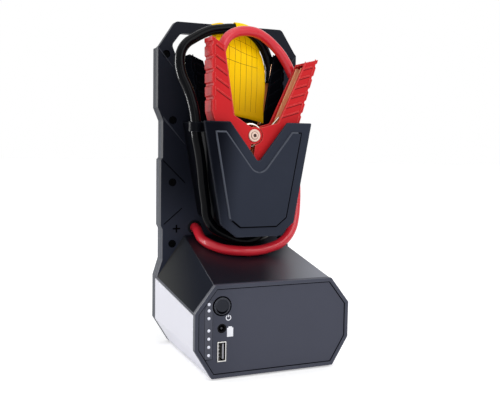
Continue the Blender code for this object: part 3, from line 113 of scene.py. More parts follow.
BLACK_ROUTE = [
    (0.0296, 0.0475, 0.0978), (0.0296, 0.0430, 0.0978), (0.0296, 0.0385, 0.0978), (0.0296, 0.0315, 0.0976),
    (0.0280, 0.0240, 0.0962), (0.0225, 0.0140, 0.0937), (0.0125, 0.0052, 0.0916), (0.0010, 0.0012, 0.0906),
    (-0.0095, 0.0005, 0.0921), (-0.0186, 0.0007, 0.0963), (-0.0274, 0.0010, 0.1018), (-0.0329, 0.0005, 0.1101),
    (-0.0344, 0.0008, 0.1215), (-0.0364, 0.0010, 0.1350), (-0.0393, -0.0030, 0.1497), (-0.0423, -0.0058, 0.1625),
    (-0.0447, -0.0060, 0.1740), (-0.0450, -0.0060, 0.1798), (-0.0454, -0.0060, 0.1856), (-0.0471, -0.0052, 0.1960),
    (-0.0506, -0.0030, 0.2085), (-0.0545, -0.0005, 0.2185), (-0.0557, 0.0015, 0.2285), (-0.0535, 0.0045, 0.2370),
    (-0.0485, 0.0072, 0.2435), (-0.0425, 0.0090, 0.2475), (-0.0355, 0.0102, 0.2515), (-0.0280, 0.0110, 0.2548),
    (-0.0190, 0.0115, 0.2566), (-0.0100, 0.0120, 0.2578), (0.0000, 0.0128, 0.2575), (0.0077, 0.0136, 0.2551),
    (0.0147, 0.0153, 0.2504), (0.0207, 0.0180, 0.2443), (0.0250, 0.0202, 0.2370), (0.0272, 0.0205, 0.2280),
    (0.0268, 0.0205, 0.2170),
]

# ---------------------------------------------------------------- materials
MIX_SHARE, MIX_FIRST, MIX_SECOND, MIX_COLOUR = 0, 6, 7, 2  # a Mix node's colour sockets
BLOTCH_SCALE = 38.0  # tone and gloss change over about 26 mm
COAT_ROUGHNESS = 0.12
PAINTED_EDGE_FACING = (0.995, 0.86)  # a rounded edge's normal against the flat one, where the painted edge highlight starts and is full (painted shade where the edge colour is darker)


def new_material(name):
    made = bpy.data.materials.new(name)
    made.use_nodes = True
    return made, made.node_tree.nodes, made.node_tree.links


def noise(nodes, links, place, scale, detail):
    made = nodes.new("ShaderNodeTexNoise")
    made.inputs["Scale"].default_value = scale
    made.inputs["Detail"].default_value = detail
    links.new(place, made.inputs["Vector"])
    return made.outputs["Fac"]


def remap(nodes, links, value, source=(0.0, 1.0), target=(0.0, 1.0), kind="LINEAR"):
    """A socket's value taken from one range to another."""
    made = nodes.new("ShaderNodeMapRange")
    made.interpolation_type = kind
    for name, number in zip(("From Min", "From Max", "To Min", "To Max"), (*source, *target)):
        made.inputs[name].default_value = number
    links.new(value, made.inputs["Value"])
    return made.outputs["Result"]


def dot(nodes, links, first, second):
    """The dot product of a socket and either another socket or a fixed direction."""
    made = nodes.new("ShaderNodeVectorMath")
    made.operation = "DOT_PRODUCT"
    links.new(first, made.inputs[0])
    if isinstance(second, tuple):
        made.inputs[1].default_value = second
    else:
        links.new(second, made.inputs[1])
    return made.outputs["Value"]


def turned(nodes, links, base, colour, share):
    """The base, a socket, turned to a colour where the share, another socket, is 1."""
    made = nodes.new("ShaderNodeMix")
    made.data_type = "RGBA"
    made.inputs[MIX_SECOND].default_value = (*colour, 1.0)
    links.new(share, made.inputs[MIX_SHARE])
    links.new(base, made.inputs[MIX_FIRST])
    return made.outputs[MIX_COLOUR]


def shade(name, colour, roughness, metallic=0.0, specular=0.22, coat=0.0, vary=0.06, rough_vary=0.05,
          grain=0.00035, depth=0.00002, streak=(1.0, 1.0, 1.0), edge=None, edge_share=0.5, edge_radius=0.0007,
          painted_fade=None):
    """Moulded or metal surface: fine grain, slow changes of tone and gloss, and rounded edges painted another colour.

    grain is the size of its bumps, depth their height, and streak stretches them. The edge colour is painted
    light along rounded edges, and painted shade where it is darker than the surface. The fade is (colour, direction,
    start, end): painted light and shade, where the tone turns to that colour along the direction, between two
    places in metres.
    """
    made, nodes, links = new_material(name)
    shader = nodes["Principled BSDF"]
    shader.inputs["Metallic"].default_value = metallic
    shader.inputs["Specular IOR Level"].default_value = specular
    shader.inputs["Coat Weight"].default_value = coat
    shader.inputs["Coat Roughness"].default_value = COAT_ROUGHNESS
    place = nodes.new("ShaderNodeTexCoord").outputs["Object"]
    blotches = noise(nodes, links, place, BLOTCH_SCALE, 4.0)
    tone = nodes.new("ShaderNodeMix")
    tone.data_type = "RGBA"
    tone.inputs[MIX_FIRST].default_value = (*(c * (1 - vary) for c in colour), 1.0)
    tone.inputs[MIX_SECOND].default_value = (*(min(1.0, c * (1 + vary)) for c in colour), 1.0)
    links.new(blotches, tone.inputs[MIX_SHARE])
    base = tone.outputs[MIX_COLOUR]
    # Painted light and shade: the tone turns to another colour along one direction.
    if painted_fade is not None:
        far_colour, direction, start, end = painted_fade
        along = dot(nodes, links, place, direction)
        base = turned(nodes, links, base, far_colour,
                      remap(nodes, links, along, source=(start, end), kind="SMOOTHSTEP"))
    # Painted edge light: rounded edges, found from the bevel normal, turn to the edge colour; painted shade where
    # that colour is darker.
    if edge is not None:
        soft = nodes.new("ShaderNodeBevel")
        soft.samples = 6
        soft.inputs["Radius"].default_value = edge_radius
        flat = nodes.new("ShaderNodeNewGeometry")
        facing = dot(nodes, links, soft.outputs["Normal"], flat.outputs["Normal"])
        base = turned(nodes, links, base, edge,
                      remap(nodes, links, facing, source=PAINTED_EDGE_FACING, target=(0.0, edge_share)))
    links.new(base, shader.inputs["Base Color"])
    gloss = (max(0.02, roughness - rough_vary), min(1.0, roughness + rough_vary))
    links.new(remap(nodes, links, blotches, target=gloss), shader.inputs["Roughness"])
    stretch = nodes.new("ShaderNodeMapping")
    stretch.inputs["Scale"].default_value = streak
    links.new(place, stretch.inputs["Vector"])
    bump = nodes.new("ShaderNodeBump")
    bump.inputs["Strength"].default_value = 1.0
    bump.inputs["Distance"].default_value = depth
    links.new(noise(nodes, links, stretch.outputs["Vector"], 1.0 / grain, 2.0), bump.inputs["Height"])
    links.new(bump.outputs["Normal"], shader.inputs["Normal"])
    return made


RULE_WIDTH = 0.00042
RULE_COLOUR, RULE_DENSITY = (0.035, 0.022, 0.004), 0.90
TABLE_ACROSS = (0.0016, 0.0410)
COLUMN_PITCH, COLUMN_OFFSET, COLUMNS_DOWN = 0.0054, 0.0030, (0.0015, 0.0650)
ROW_PITCH, ROW_OFFSET, ROW_SLOPE, ROWS_DOWN = 0.0092, 0.0040, 0.16, (0.0015, 0.0330)


def ruled_film():
    """Yellow film with the thin black rules of a table, along its own width and height (UV, in metres)."""
    # Painted shade: the film turns darker ochre towards its lower right.
    made = shade("yellow_film", (0.95, 0.60, 0.0015), 0.36, specular=0.06, vary=0.10, grain=0.0006, depth=0.000012,
                 painted_fade=((0.34, 0.18, 0.0010), (0.5, 0.0, -0.85), -0.205, -0.150))
    nodes, links = made.node_tree.nodes, made.node_tree.links
    shader = nodes["Principled BSDF"]
    shader.inputs["Emission Color"].default_value = (1.0, 0.58, 0.0, 1.0)  # painted light: a faint glow that brightens the shaded film, in place of light coming through it
    shader.inputs["Emission Strength"].default_value = 0.17
    base = shader.inputs["Base Color"].links[0].from_socket
    film_place = nodes.new("ShaderNodeUVMap")
    film_place.uv_map = "film"
    split = nodes.new("ShaderNodeSeparateXYZ")
    links.new(film_place.outputs["UV"], split.inputs["Vector"])
    across, down = split.outputs["X"], split.outputs["Y"]

    def operate(operation, first, second):
        node = nodes.new("ShaderNodeMath")
        node.operation = operation
        for slot, value in zip(node.inputs, (first, second)):
            if isinstance(value, float):
                slot.default_value = value
            else:
                links.new(value, slot)
        return node.outputs["Value"]

    def rules(value, pitch, offset):
        return operate("LESS_THAN", operate("MODULO", operate("ADD", value, offset), pitch), RULE_WIDTH)

    def between(value, limits):
        low, high = limits
        return operate("MULTIPLY", operate("GREATER_THAN", value, low), operate("LESS_THAN", value, high))

    upright = operate("MULTIPLY", rules(across, COLUMN_PITCH, COLUMN_OFFSET), between(down, COLUMNS_DOWN))
    slanted = operate("SUBTRACT", down, operate("MULTIPLY", across, ROW_SLOPE))
    level = operate("MULTIPLY", rules(slanted, ROW_PITCH, ROW_OFFSET), between(down, ROWS_DOWN))
    drawn = operate("MULTIPLY", operate("MAXIMUM", upright, level), between(across, TABLE_ACROSS))
    share = operate("MULTIPLY", drawn, RULE_DENSITY)
    links.new(turned(nodes, links, base, RULE_COLOUR, share), shader.inputs["Base Color"])
    return made


# Painted light: rounded edges lighter as highlights, and the shell lighter towards the bottom.
BLACK = shade("shell_black", (0.0090, 0.0108, 0.0180), 0.42, specular=0.08,
              edge=(0.050, 0.056, 0.072), edge_share=0.75,
              painted_fade=((0.0290, 0.0335, 0.0520), (0.0, 0.0, -1.0), -0.150, -0.085))
# Painted highlight: the glossy top turns pale grey towards its right and front.
HOOD = shade("hood_gloss", (0.0065, 0.0068, 0.0115), 0.36, specular=0.24, rough_vary=0.03, depth=0.000008,
             painted_fade=((0.215, 0.225, 0.265), (0.92, -0.40, 0.0), 0.010, 0.070))
# Painted light: the slope turns lighter towards the left.
SLOPE = shade("hood_slope", (0.0170, 0.0190, 0.0265), 0.55, specular=0.0, depth=0.000008,
              painted_fade=((0.060, 0.061, 0.060), (-1.0, 0.25, 0.0), 0.040, 0.074))
# Painted shade: the cover turns darker towards its left side; its rounded edges are lighter, a painted highlight.
HOLSTER = shade("holster_black", (0.0300, 0.0350, 0.0510), 0.45, specular=0.015,
                edge=(0.085, 0.094, 0.120), edge_share=0.8,
                painted_fade=((0.0035, 0.0042, 0.0075), (-0.97, 0.0, 0.10), 0.0260, 0.0510))
# Painted highlight: rounded edges lighter.
TUB = shade("tub_black", (0.0030, 0.0034, 0.0052), 0.36, specular=0.03, edge=(0.040, 0.045, 0.058))
# Painted highlight on the lighter rounded edges, and painted shade: the face turns darker towards the left.
SLATE = shade("bezel_slate", (0.056, 0.060, 0.084), 0.48, specular=0.18, vary=0.05,
              edge=(0.092, 0.098, 0.124), edge_share=0.6,
              painted_fade=((0.043, 0.047, 0.067), (-1.0, 0.0, 0.0), 0.020, 0.052))
# Painted highlight on the lighter rounded edges, and painted shade: darker towards the top.
GREY = shade("rear_grey", (0.105, 0.112, 0.130), 0.50, specular=0.03, edge=(0.185, 0.200, 0.230), edge_share=0.6,
             painted_fade=((0.030, 0.034, 0.044), (0.0, 0.0, 1.0), 0.090, 0.230))
# Painted shade: rounded edges darker grey.
PALE = shade("tray_pale", (0.785, 0.785, 0.855), 0.34, specular=0.06, vary=0.012, rough_vary=0.01,
             edge=(0.42, 0.42, 0.48), edge_share=0.6)
# Painted highlight: rounded edges lighter.
BUTTON = shade("button_black", (0.017, 0.019, 0.027), 0.28, specular=0.14, edge=(0.16, 0.17, 0.20), edge_share=0.8)
RUBBER = shade("soft_rubber", (0.008, 0.008, 0.010), 0.70, specular=0.08, grain=0.0006, depth=0.00005)
# Painted highlight: rounded edges pale orange-red.
RED = shade("grip_red", (0.580, 0.018, 0.022), 0.40, specular=0.09, vary=0.07, edge=(0.90, 0.20, 0.18),
            edge_share=0.8)
# Painted shadow: the dark red lines under the ribs of a red grip.
RED_RIB_SHADOW = shade("grip_red_rib_shadow", (0.230, 0.006, 0.009), 0.50, specular=0.08, vary=0.07)
# Painted highlight: rounded edges lighter.
GRIP_BLACK = shade("grip_black", (0.0018, 0.0022, 0.0034), 0.50, specular=0.0, edge=(0.022, 0.025, 0.035),
                   edge_share=0.6)
CABLE_RED = shade("cable_red", (0.640, 0.018, 0.034), 0.20, specular=0.30, coat=0.2, vary=0.05, grain=0.0009,
                  depth=0.00003)
CABLE_BLACK = shade("cable_black", (0.0015, 0.0018, 0.0028), 0.09, specular=0.07, vary=0.05, rough_vary=0.01,
                    grain=0.0009)
# Painted highlight: rounded edges paler.
COPPER = shade("jaw_copper", (0.98, 0.50, 0.28), 0.38, metallic=0.30, specular=0.4, vary=0.10, rough_vary=0.08,
               grain=0.0004, depth=0.00001, streak=(1.0, 1.0, 0.06), edge=(0.95, 0.62, 0.42), edge_share=0.6)
STEEL = shade("bright_steel", (0.72, 0.71, 0.69), 0.22, metallic=1.0, specular=0.5, vary=0.05, rough_vary=0.06,
              grain=0.0003, depth=0.00001)
# Painted shade: rounded edges darker.
RIVET = shade("rivet_plated", (0.74, 0.54, 0.45), 0.34, metallic=0.5, specular=0.4, vary=0.05, rough_vary=0.06,
              grain=0.0003, depth=0.00001, edge=(0.40, 0.26, 0.21), edge_share=0.7, edge_radius=0.0004)
# Painted shade in the rivet's hollow and round its hub.
RIVET_SHADE = shade("rivet_hollow", (0.060, 0.030, 0.026), 0.50, specular=0.10, vary=0.10, grain=0.0003,
                   depth=0.00001)
DARK_STEEL = shade("screw_steel", (0.0022, 0.0024, 0.0030), 0.60, specular=0.03, vary=0.08, grain=0.0003,
                   depth=0.00001)
PIN_STEEL = shade("pin_steel", (0.045, 0.045, 0.050), 0.40, metallic=0.6, vary=0.08, grain=0.0003, depth=0.00001)
BOARD = shade("board_green", (0.012, 0.110, 0.050), 0.45, vary=0.15)
FOIL = shade("cell_foil", (0.45, 0.47, 0.50), 0.36, metallic=0.8, vary=0.10, grain=0.0012, depth=0.0001)
TONGUE = shade("usb_tongue_dark", (0.0040, 0.0042, 0.0055), 0.40, specular=0.06, vary=0.05)
LENS = shade("light_strip", (0.056, 0.060, 0.082), 0.32, coat=0.1, vary=0.04)
PIP = shade("light_pip", (0.78, 0.80, 0.90), 0.22, coat=0.4, vary=0.04)
INK = shade("print_white", (0.84, 0.85, 0.90), 0.45, vary=0.05)
# Dark print, and painted shade in grooves, wells, the button's gap and dish, and on the welt's shaded side.
PRINT_AND_SHADE_DARK = shade("print_and_painted_shade", (0.0016, 0.0018, 0.0026), 0.80, specular=0.0, vary=0.05)
# Painted highlight on the tower's lit chamfers.
CREASE_HIGHLIGHT = shade("crease_painted_highlight", (0.032, 0.036, 0.048), 0.45, specular=0.12)
# Painted highlight on the lit side of the cover's welt.
WELT_HIGHLIGHT = shade("welt_painted_highlight", (0.072, 0.080, 0.102), 0.45, specular=0.10)
GREY_TIN = shade("contact_grey", (0.30, 0.30, 0.33), 0.35, metallic=0.4)
FILM = ruled_film()


# ---------------------------------------------------------------- mesh tools
FLAT_SHARP, ROUND_SHARP = 35.0, 50.0  # edges that stay sharp, in degrees, on flat-sided and on turned shapes


def new_piece(name, mesh, finish, body):
    obj = bpy.data.objects.new(name, mesh)
    bpy.context.scene.collection.objects.link(obj)
    mesh.materials.append(finish)
    if body:
        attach(obj, body)
    return obj


def from_bmesh(name, work):
    bmesh.ops.recalc_face_normals(work, faces=work.faces)
    mesh = bpy.data.meshes.new(name)
    work.to_mesh(mesh)
    work.free()
    return mesh


def smooth(mesh, angle=FLAT_SHARP):
    """Smooth shading, with edges sharper than this many degrees kept."""
    mesh.polygons.foreach_set("use_smooth", [True] * len(mesh.polygons))
    work = bmesh.new()
    work.from_mesh(mesh)
    for edge in work.edges:
        edge.smooth = len(edge.link_faces) == 2 and edge.calc_face_angle(0.0) < math.radians(angle)
    work.to_mesh(mesh)
    work.free()
    return mesh


def route_length(points):
    return sum((b - a).length for a, b in zip(points, points[1:]))


def with_ends(points):
    """The chain with one more point before and after it, straight on."""
    return [2 * points[0] - points[1], *points, 2 * points[-1] - points[-2]]


def smooth_route(points, step):
    """A curve through the points, at about even steps, by Catmull-Rom with chord-length knots."""
    parts = 12
    points = [Vector(p) for p in points]
    ends = with_ends(points)
    fine = []
    for p0, p1, p2, p3 in zip(ends, ends[1:], ends[2:], ends[3:]):
        t1 = (p1 - p0).length ** 0.5
        t2 = t1 + (p2 - p1).length ** 0.5
        t3 = t2 + (p3 - p2).length ** 0.5
        for k in range(parts):
            t = t1 + (t2 - t1) * k / parts
            a1 = p0.lerp(p1, t / t1)
            a2 = p1.lerp(p2, (t - t1) / (t2 - t1))
            a3 = p2.lerp(p3, (t - t2) / (t3 - t2))
            b1 = a1.lerp(a2, t / t2)
            b2 = a2.lerp(a3, (t - t1) / (t3 - t1))
            fine.append(b1.lerp(b2, (t - t1) / (t2 - t1)))
    fine.append(points[-1])
    length = route_length(fine)
    count = round(length / step)
    spacing, walked, kept = length / count, 0.0, [fine[0]]
    for a, b in zip(fine, fine[1:]):
        walked += (b - a).length
        if walked >= spacing * len(kept) and len(kept) < count:
            kept.append(b)
    return kept + [fine[-1]]


def finer(points, parts):
    """More points along a chain, on a smooth curve through it."""
    ends = with_ends(points)
    fine = []
    for p0, p1, p2, p3 in zip(ends, ends[1:], ends[2:], ends[3:]):
        for k in range(parts):
            t = k / parts
            bend, twist = 2 * p0 - 5 * p1 + 4 * p2 - p3, 3 * p1 - p0 - 3 * p2 + p3
            fine.append(0.5 * (2 * p1 + (p2 - p0) * t + bend * t * t + twist * t ** 3))
    return fine + [points[-1].copy()]


def tube(name, points, radius, sides):
    """A round tube along the points, closed at both ends."""
    points = [Vector(p) for p in points]
    along = [(b - a).normalized() for a, b in zip(points, points[1:])]
    along.append(along[-1])
    side = along[0].orthogonal().normalized()
    work = bmesh.new()
    rings = []
    for i, point in enumerate(points):
        heading = (along[max(i - 1, 0)] + along[i]).normalized()
        side = (side - heading * side.dot(heading)).normalized()
        other = heading.cross(side)
        turns = (2 * math.pi * k / sides for k in range(sides))
        rings.append([work.verts.new(point + (side * math.cos(t) + other * math.sin(t)) * radius) for t in turns])
    for low, high in zip(rings, rings[1:]):
        for k in range(sides):
            work.faces.new((low[k], low[(k + 1) % sides], high[(k + 1) % sides], high[k]))
    work.faces.new(rings[0][::-1])
    work.faces.new(rings[-1])
    return smooth(from_bmesh(name, work), ROUND_SHARP)


def plate(name, outline, low, high, bevel, matrix=None):
    """A closed (x, z) outline thickened from y = low to high, with rounded edges."""
    work = bmesh.new()
    front = [work.verts.new((x, low, z)) for x, z in outline]
    back = [work.verts.new((x, high, z)) for x, z in outline]
    work.faces.new(front)
    work.faces.new(back[::-1])
    count = len(outline)
    for i in range(count):
        work.faces.new((front[i], back[i], back[(i + 1) % count], front[(i + 1) % count]))
    bmesh.ops.recalc_face_normals(work, faces=work.faces)
    sharp = [e for e in work.edges if e.calc_face_angle(0.0) > math.radians(30)]
    bmesh.ops.bevel(work, geom=sharp, offset=bevel, segments=2, affect="EDGES", profile=0.5, clamp_overlap=True)
    if matrix is not None:
        bmesh.ops.transform(work, matrix=matrix, verts=work.verts)
    return smooth(from_bmesh(name, work))


def lathe(work, origin, profile, steps=20):
    """Adds a shape turned about Y to the bmesh. The profile is (radius, how far to the front)."""
    rings = []
    for radius, out in profile:
        if radius == 0.0:
            rings.append([work.verts.new((origin[0], origin[1] - out, origin[2]))])
            continue
        turns = [2 * math.pi * k / steps for k in range(steps)]
        rings.append([work.verts.new((origin[0] + radius * math.cos(t), origin[1] - out,
                                      origin[2] + radius * math.sin(t))) for t in turns])
    for low, high in zip(rings, rings[1:]):
        for k in range(steps):
            quad = [low[k % len(low)], low[(k + 1) % len(low)], high[(k + 1) % len(high)], high[k % len(high)]]
            work.faces.new(list(dict.fromkeys(quad)))


def joined(name, meshes, finish, body):
    """One piece from several meshes."""
    work = bmesh.new()
    for mesh in meshes:
        work.from_mesh(mesh)
        bpy.data.meshes.remove(mesh)
    mesh = bpy.data.meshes.new(name)
    work.to_mesh(mesh)
    work.free()
    return new_piece(name, smooth(mesh), finish, body)


def both_sides(half, middle=()):
    """A symmetric outline from its right half, with the points between the halves."""
    return [*half, *middle, *((-x, z) for x, z in reversed(half))]


def raised(outline):
    """An outline above the shells' underside, in world heights."""
    return [(x, z + BASE_Z) for x, z in outline]


def bar_outline(start, end, width):
    """The four corners of a straight bar between two (x, z) points."""
    start, end = Vector(start), Vector(end)
    aside = (end - start).normalized()
    aside = Vector((-aside.y, aside.x)) * width / 2
    return [tuple(start + aside), tuple(end + aside), tuple(end - aside), tuple(start - aside)]


def ring_arc(centre, radius, width, start, end, steps=28):
    """A part of a flat ring, angles in degrees."""
    turns = [math.radians(start + (end - start) * i / steps) for i in range(steps + 1)]

    def arc(reach):
        return [(centre[0] + reach * math.cos(t), centre[1] + reach * math.sin(t)) for t in turns]

    return arc(radius + width / 2) + arc(radius - width / 2)[::-1]


def inset_ring(ring, inset):
    """An anticlockwise (x, z) outline moved inwards."""
    out = []
    for before, here, after in zip(ring[-1:] + ring[:-1], ring, ring[1:] + ring[:1]):
        before, here, after = Vector(before), Vector(here), Vector(after)
        a, b = (here - before).normalized(), (after - here).normalized()
        a, b = Vector((-a.y, a.x)), Vector((-b.y, b.x))
        middle = (a + b).normalized()
        out.append(tuple(here + middle * inset / middle.dot(a)))
    return out


# ---------------------------------------------------------------- camera, light, floor
CAMERA_PLACE = (-0.219245, -0.520482, 0.168547)
LAMP_TARGET = Vector((0.0, 0.0, 0.12))  # the middle of the object


def photo_camera():
    """The photograph's camera, with its focal length in pixels of a picture 500 wide."""
    yaw, pitch, roll = 0.403, 0.08, 0.015
    focal_pixels, picture_width, sensor = 715.585, 500.0, 36.0
    forward = Vector((math.sin(yaw) * math.cos(pitch), math.cos(yaw) * math.cos(pitch), -math.sin(pitch)))
    right = Vector((math.cos(yaw), -math.sin(yaw), 0.0))
    up = right.cross(forward)
    across = right * math.cos(roll) + up * math.sin(roll)
    above = up * math.cos(roll) - right * math.sin(roll)
    data = bpy.data.cameras.new("camera")
    data.lens = sensor * focal_pixels / picture_width
    data.sensor_width = sensor
    data.clip_start = 0.01
    data.clip_end = 20.0
    camera = bpy.data.objects.new("camera", data)
    turn = Matrix((across, above, -forward)).transposed().to_4x4()
    camera.matrix_world = Matrix.Translation(CAMERA_PLACE) @ turn
    bpy.context.scene.collection.objects.link(camera)
    bpy.context.scene.camera = camera


def lamp(name, place, size, power):
    """A rectangular lamp that points at the middle of the object."""
    data = bpy.data.lights.new(name, "AREA")
    data.shape = "RECTANGLE"
    data.size, data.size_y = size
    data.energy = power
    obj = bpy.data.objects.new(name, data)
    obj.location = place
    obj.rotation_euler = (LAMP_TARGET - Vector(place)).to_track_quat("-Z", "Y").to_euler()
    bpy.context.scene.collection.objects.link(obj)
    return obj


def seen_directly(nodes, links):
    """1 for rays that come from the camera or off a glossy or clear surface."""
    path = nodes.new("ShaderNodeLightPath")
    total = path.outputs["Is Camera Ray"]
    for name in ("Is Glossy Ray", "Is Transmission Ray"):
        add = nodes.new("ShaderNodeMath")
        add.operation = "MAXIMUM"
        links.new(total, add.inputs[0])
        links.new(path.outputs[name], add.inputs[1])
        total = add.outputs["Value"]
    return total


def studio():
    """A white world that lights less than it shows, and five lamps."""
    world = bpy.data.worlds.new("studio")
    bpy.context.scene.world = world
    world.use_nodes = True
    nodes, links = world.node_tree.nodes, world.node_tree.links
    back = nodes["Background"]
    back.inputs["Color"].default_value = (1.0, 1.0, 1.0, 1.0)
    links.new(remap(nodes, links, seen_directly(nodes, links), target=(0.66, 1.0)), back.inputs["Strength"])
    lamp("key", (0.50, -0.95, 0.85), (0.8, 0.8), 5.0)
    lamp("top", (0.05, -0.15, 1.25), (0.8, 0.8), 2.0)
    lamp("side", (-0.88, 0.40, 0.30), (0.04, 0.8), 2.2)
    lamp("front", (-0.35, -0.95, 0.35), (0.30, 0.5), 0.7)
    glint = lamp("glint", (-0.75, 0.80, 0.25), (0.10, 0.9), 17.0)
    glint.visible_diffuse = False  # it only makes highlights, such as the thin line on the black cable


def floor():
    """A pale round floor that shows as white and keeps the object's shadow."""
    made, nodes, links = new_material("floor")
    shader = nodes["Principled BSDF"]
    shader.inputs["Base Color"].default_value = (0.86, 0.86, 0.87, 1.0)
    shader.inputs["Roughness"].default_value = 0.7
    grain = nodes.new("ShaderNodeTexNoise")
    grain.inputs["Scale"].default_value = 60.0
    bump = nodes.new("ShaderNodeBump")
    bump.inputs["Distance"].default_value = 0.00002
    links.new(grain.outputs["Fac"], bump.inputs["Height"])
    links.new(bump.outputs["Normal"], shader.inputs["Normal"])
    shader.inputs["Emission Color"].default_value = (1.0, 1.0, 1.0, 1.0)
    glow = remap(nodes, links, seen_directly(nodes, links), target=(0.0, 0.40))
    links.new(glow, shader.inputs["Emission Strength"])
    work = bmesh.new()
    bmesh.ops.create_circle(work, cap_ends=True, segments=64, radius=6.0)
    new_piece("floor", from_bmesh("floor", work), made, None)


# ---------------------------------------------------------------- cables
def cable(name, route, finish):
    """The whole cable as one tube along its route, in place of the CAD node."""
    points = smooth_route(route, CABLE_STEP)
    piece = new_piece(f"{name}_tube", tube(f"{name}_tube", points, CABLE_RADIUS, 24), finish, None)
    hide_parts(name)
    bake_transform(piece)
    return points


photo_camera()
studio()
floor()
cable("red_cable", RED_ROUTE, CABLE_RED)
BLACK_LINE = cable("black_cable", BLACK_ROUTE, CABLE_BLACK)


# ---------------------------------------------------------------- hood, tower and face
def hood_skin():
    """The smooth skins of the hood: a glossy one on its top and a duller one on each slope."""
    clear, edge_gap, sunk, proud, bevel = 0.0003, 0.0002, 0.00010, 0.00012, 0.00008
    chains = ((both_sides(HOOD_FRONT_HALF)[::-1], HOOD_FRONT_Y + clear),
              (both_sides(HOOD_BACK_HALF)[::-1], TOWER_Y - clear))
    skins = (("hood_left_skin", SLOPE), ("hood_top_skin", HOOD), ("hood_right_skin", SLOPE))
    for i, (name, finish) in enumerate(skins):
        ends = []
        for chain, y in chains:
            a, b = Vector(chain[i]), Vector(chain[i + 1])
            step = (b - a).normalized() * edge_gap
            ends.append([Vector((p.x, y, p.y + BASE_Z)) for p in (a + step, b - step)])
        (a, b), (d, c) = ends
        normal = (b - a).cross(d - a).normalized()
        work = bmesh.new()
        low = [work.verts.new(p - normal * sunk) for p in (a, b, c, d)]
        high = [work.verts.new(p + normal * proud) for p in (a, b, c, d)]
        work.faces.new(low[::-1])
        work.faces.new(high)
        for k in range(4):
            work.faces.new((low[k], low[(k + 1) % 4], high[(k + 1) % 4], high[k]))
        bmesh.ops.recalc_face_normals(work, faces=work.faces)
        bmesh.ops.bevel(work, geom=work.edges[:], offset=bevel, segments=1, affect="EDGES", clamp_overlap=True)
        new_piece(name, from_bmesh(name, work), finish, "pack")


def marks(name, outlines, wall, proud, sunk, bevel, finish):
    """Thin plates on a wall that faces -Y, as one piece."""
    plates = [plate(name, raised(outline), wall - proud, wall + sunk, bevel) for outline in outlines]
    joined(name, plates, finish, "pack")


def tower_marks():
    """The creases of the tower, mirrored, and the plus and minus beside the cable exits.

    The creases are thin plates: the light ones are painted highlight on lit chamfers, the dark ones painted shade
    in grooves. The plus and minus are dark print.
    """
    light, dark = [], []
    for side in (-1, 1):
        light.append(bar_outline((side * 0.0612, 0.2420), (side * 0.0492, 0.2274), 0.0006))
        wedge = ((0.0568, 0.1874), (0.0568, 0.1850), (0.0385, 0.1650), (0.0384, 0.1655))
        light.append([(side * x, z) for x, z in wedge])
        dark.append(bar_outline((side * 0.0567, 0.1518), (side * 0.0383, 0.1337), 0.0008))
        dark.append(bar_outline((side * 0.0560, 0.0996), (side * 0.0407, 0.1126), 0.0007))
    x, z, arm, width = 0.0452, 0.0958, 0.0032, 0.0013
    dark.append(bar_outline((-x - arm, z), (-x + arm, z), width))
    dark.append(bar_outline((-x, z - arm), (-x, z + arm), width))
    dark.append(bar_outline((x - arm, z), (x + arm, z), width))
    marks("tower_crease_highlights", light, TOWER_Y, 0.00022, 0.0002, 0.00008, CREASE_HIGHLIGHT)
    marks("tower_signs_and_crease_shade", dark, TOWER_Y, 0.00012, 0.0002, 0.00005, PRINT_AND_SHADE_DARK)


def face_marks():
    """The power sign below the button and a plain battery sign beside the charging socket."""
    x, z = -0.0361, 0.0431
    signs = [ring_arc((x, z), 0.00175, 0.00060, 120.0, 420.0), bar_outline((x, z + 0.0004), (x, z + 0.0022), 0.00055)]
    x, z = -0.0346, 0.0330
    left, right, cap_left, cap_right = x - 0.0025, x + 0.0022, x - 0.0015, x + 0.0012
    bottom, shoulder, top = z - 0.0037, z + 0.0028, z + 0.0037
    signs.append([(left, bottom), (right, bottom), (right, shoulder), (cap_right, shoulder), (cap_right, top),
                  (cap_left, top), (cap_left, shoulder), (left, shoulder)])
    marks("face_signs", signs, FACE_Y, 0.00006, 0.0001, 0.00002, INK)


def bezel_groove():
    """The groove inside the raised rim of the face, drawn as a flat dark line: painted shade."""
    ring = inset_ring(both_sides(FACE_HALF), 0.0027)
    inner = inset_ring(ring, 0.0006)
    bars = [[ring[i - 1], ring[i], inner[i], inner[i - 1]] for i in range(len(ring))]
    marks("bezel_groove", bars, FACE_Y, 0.00005, 0.0001, 0.00001, PRINT_AND_SHADE_DARK)


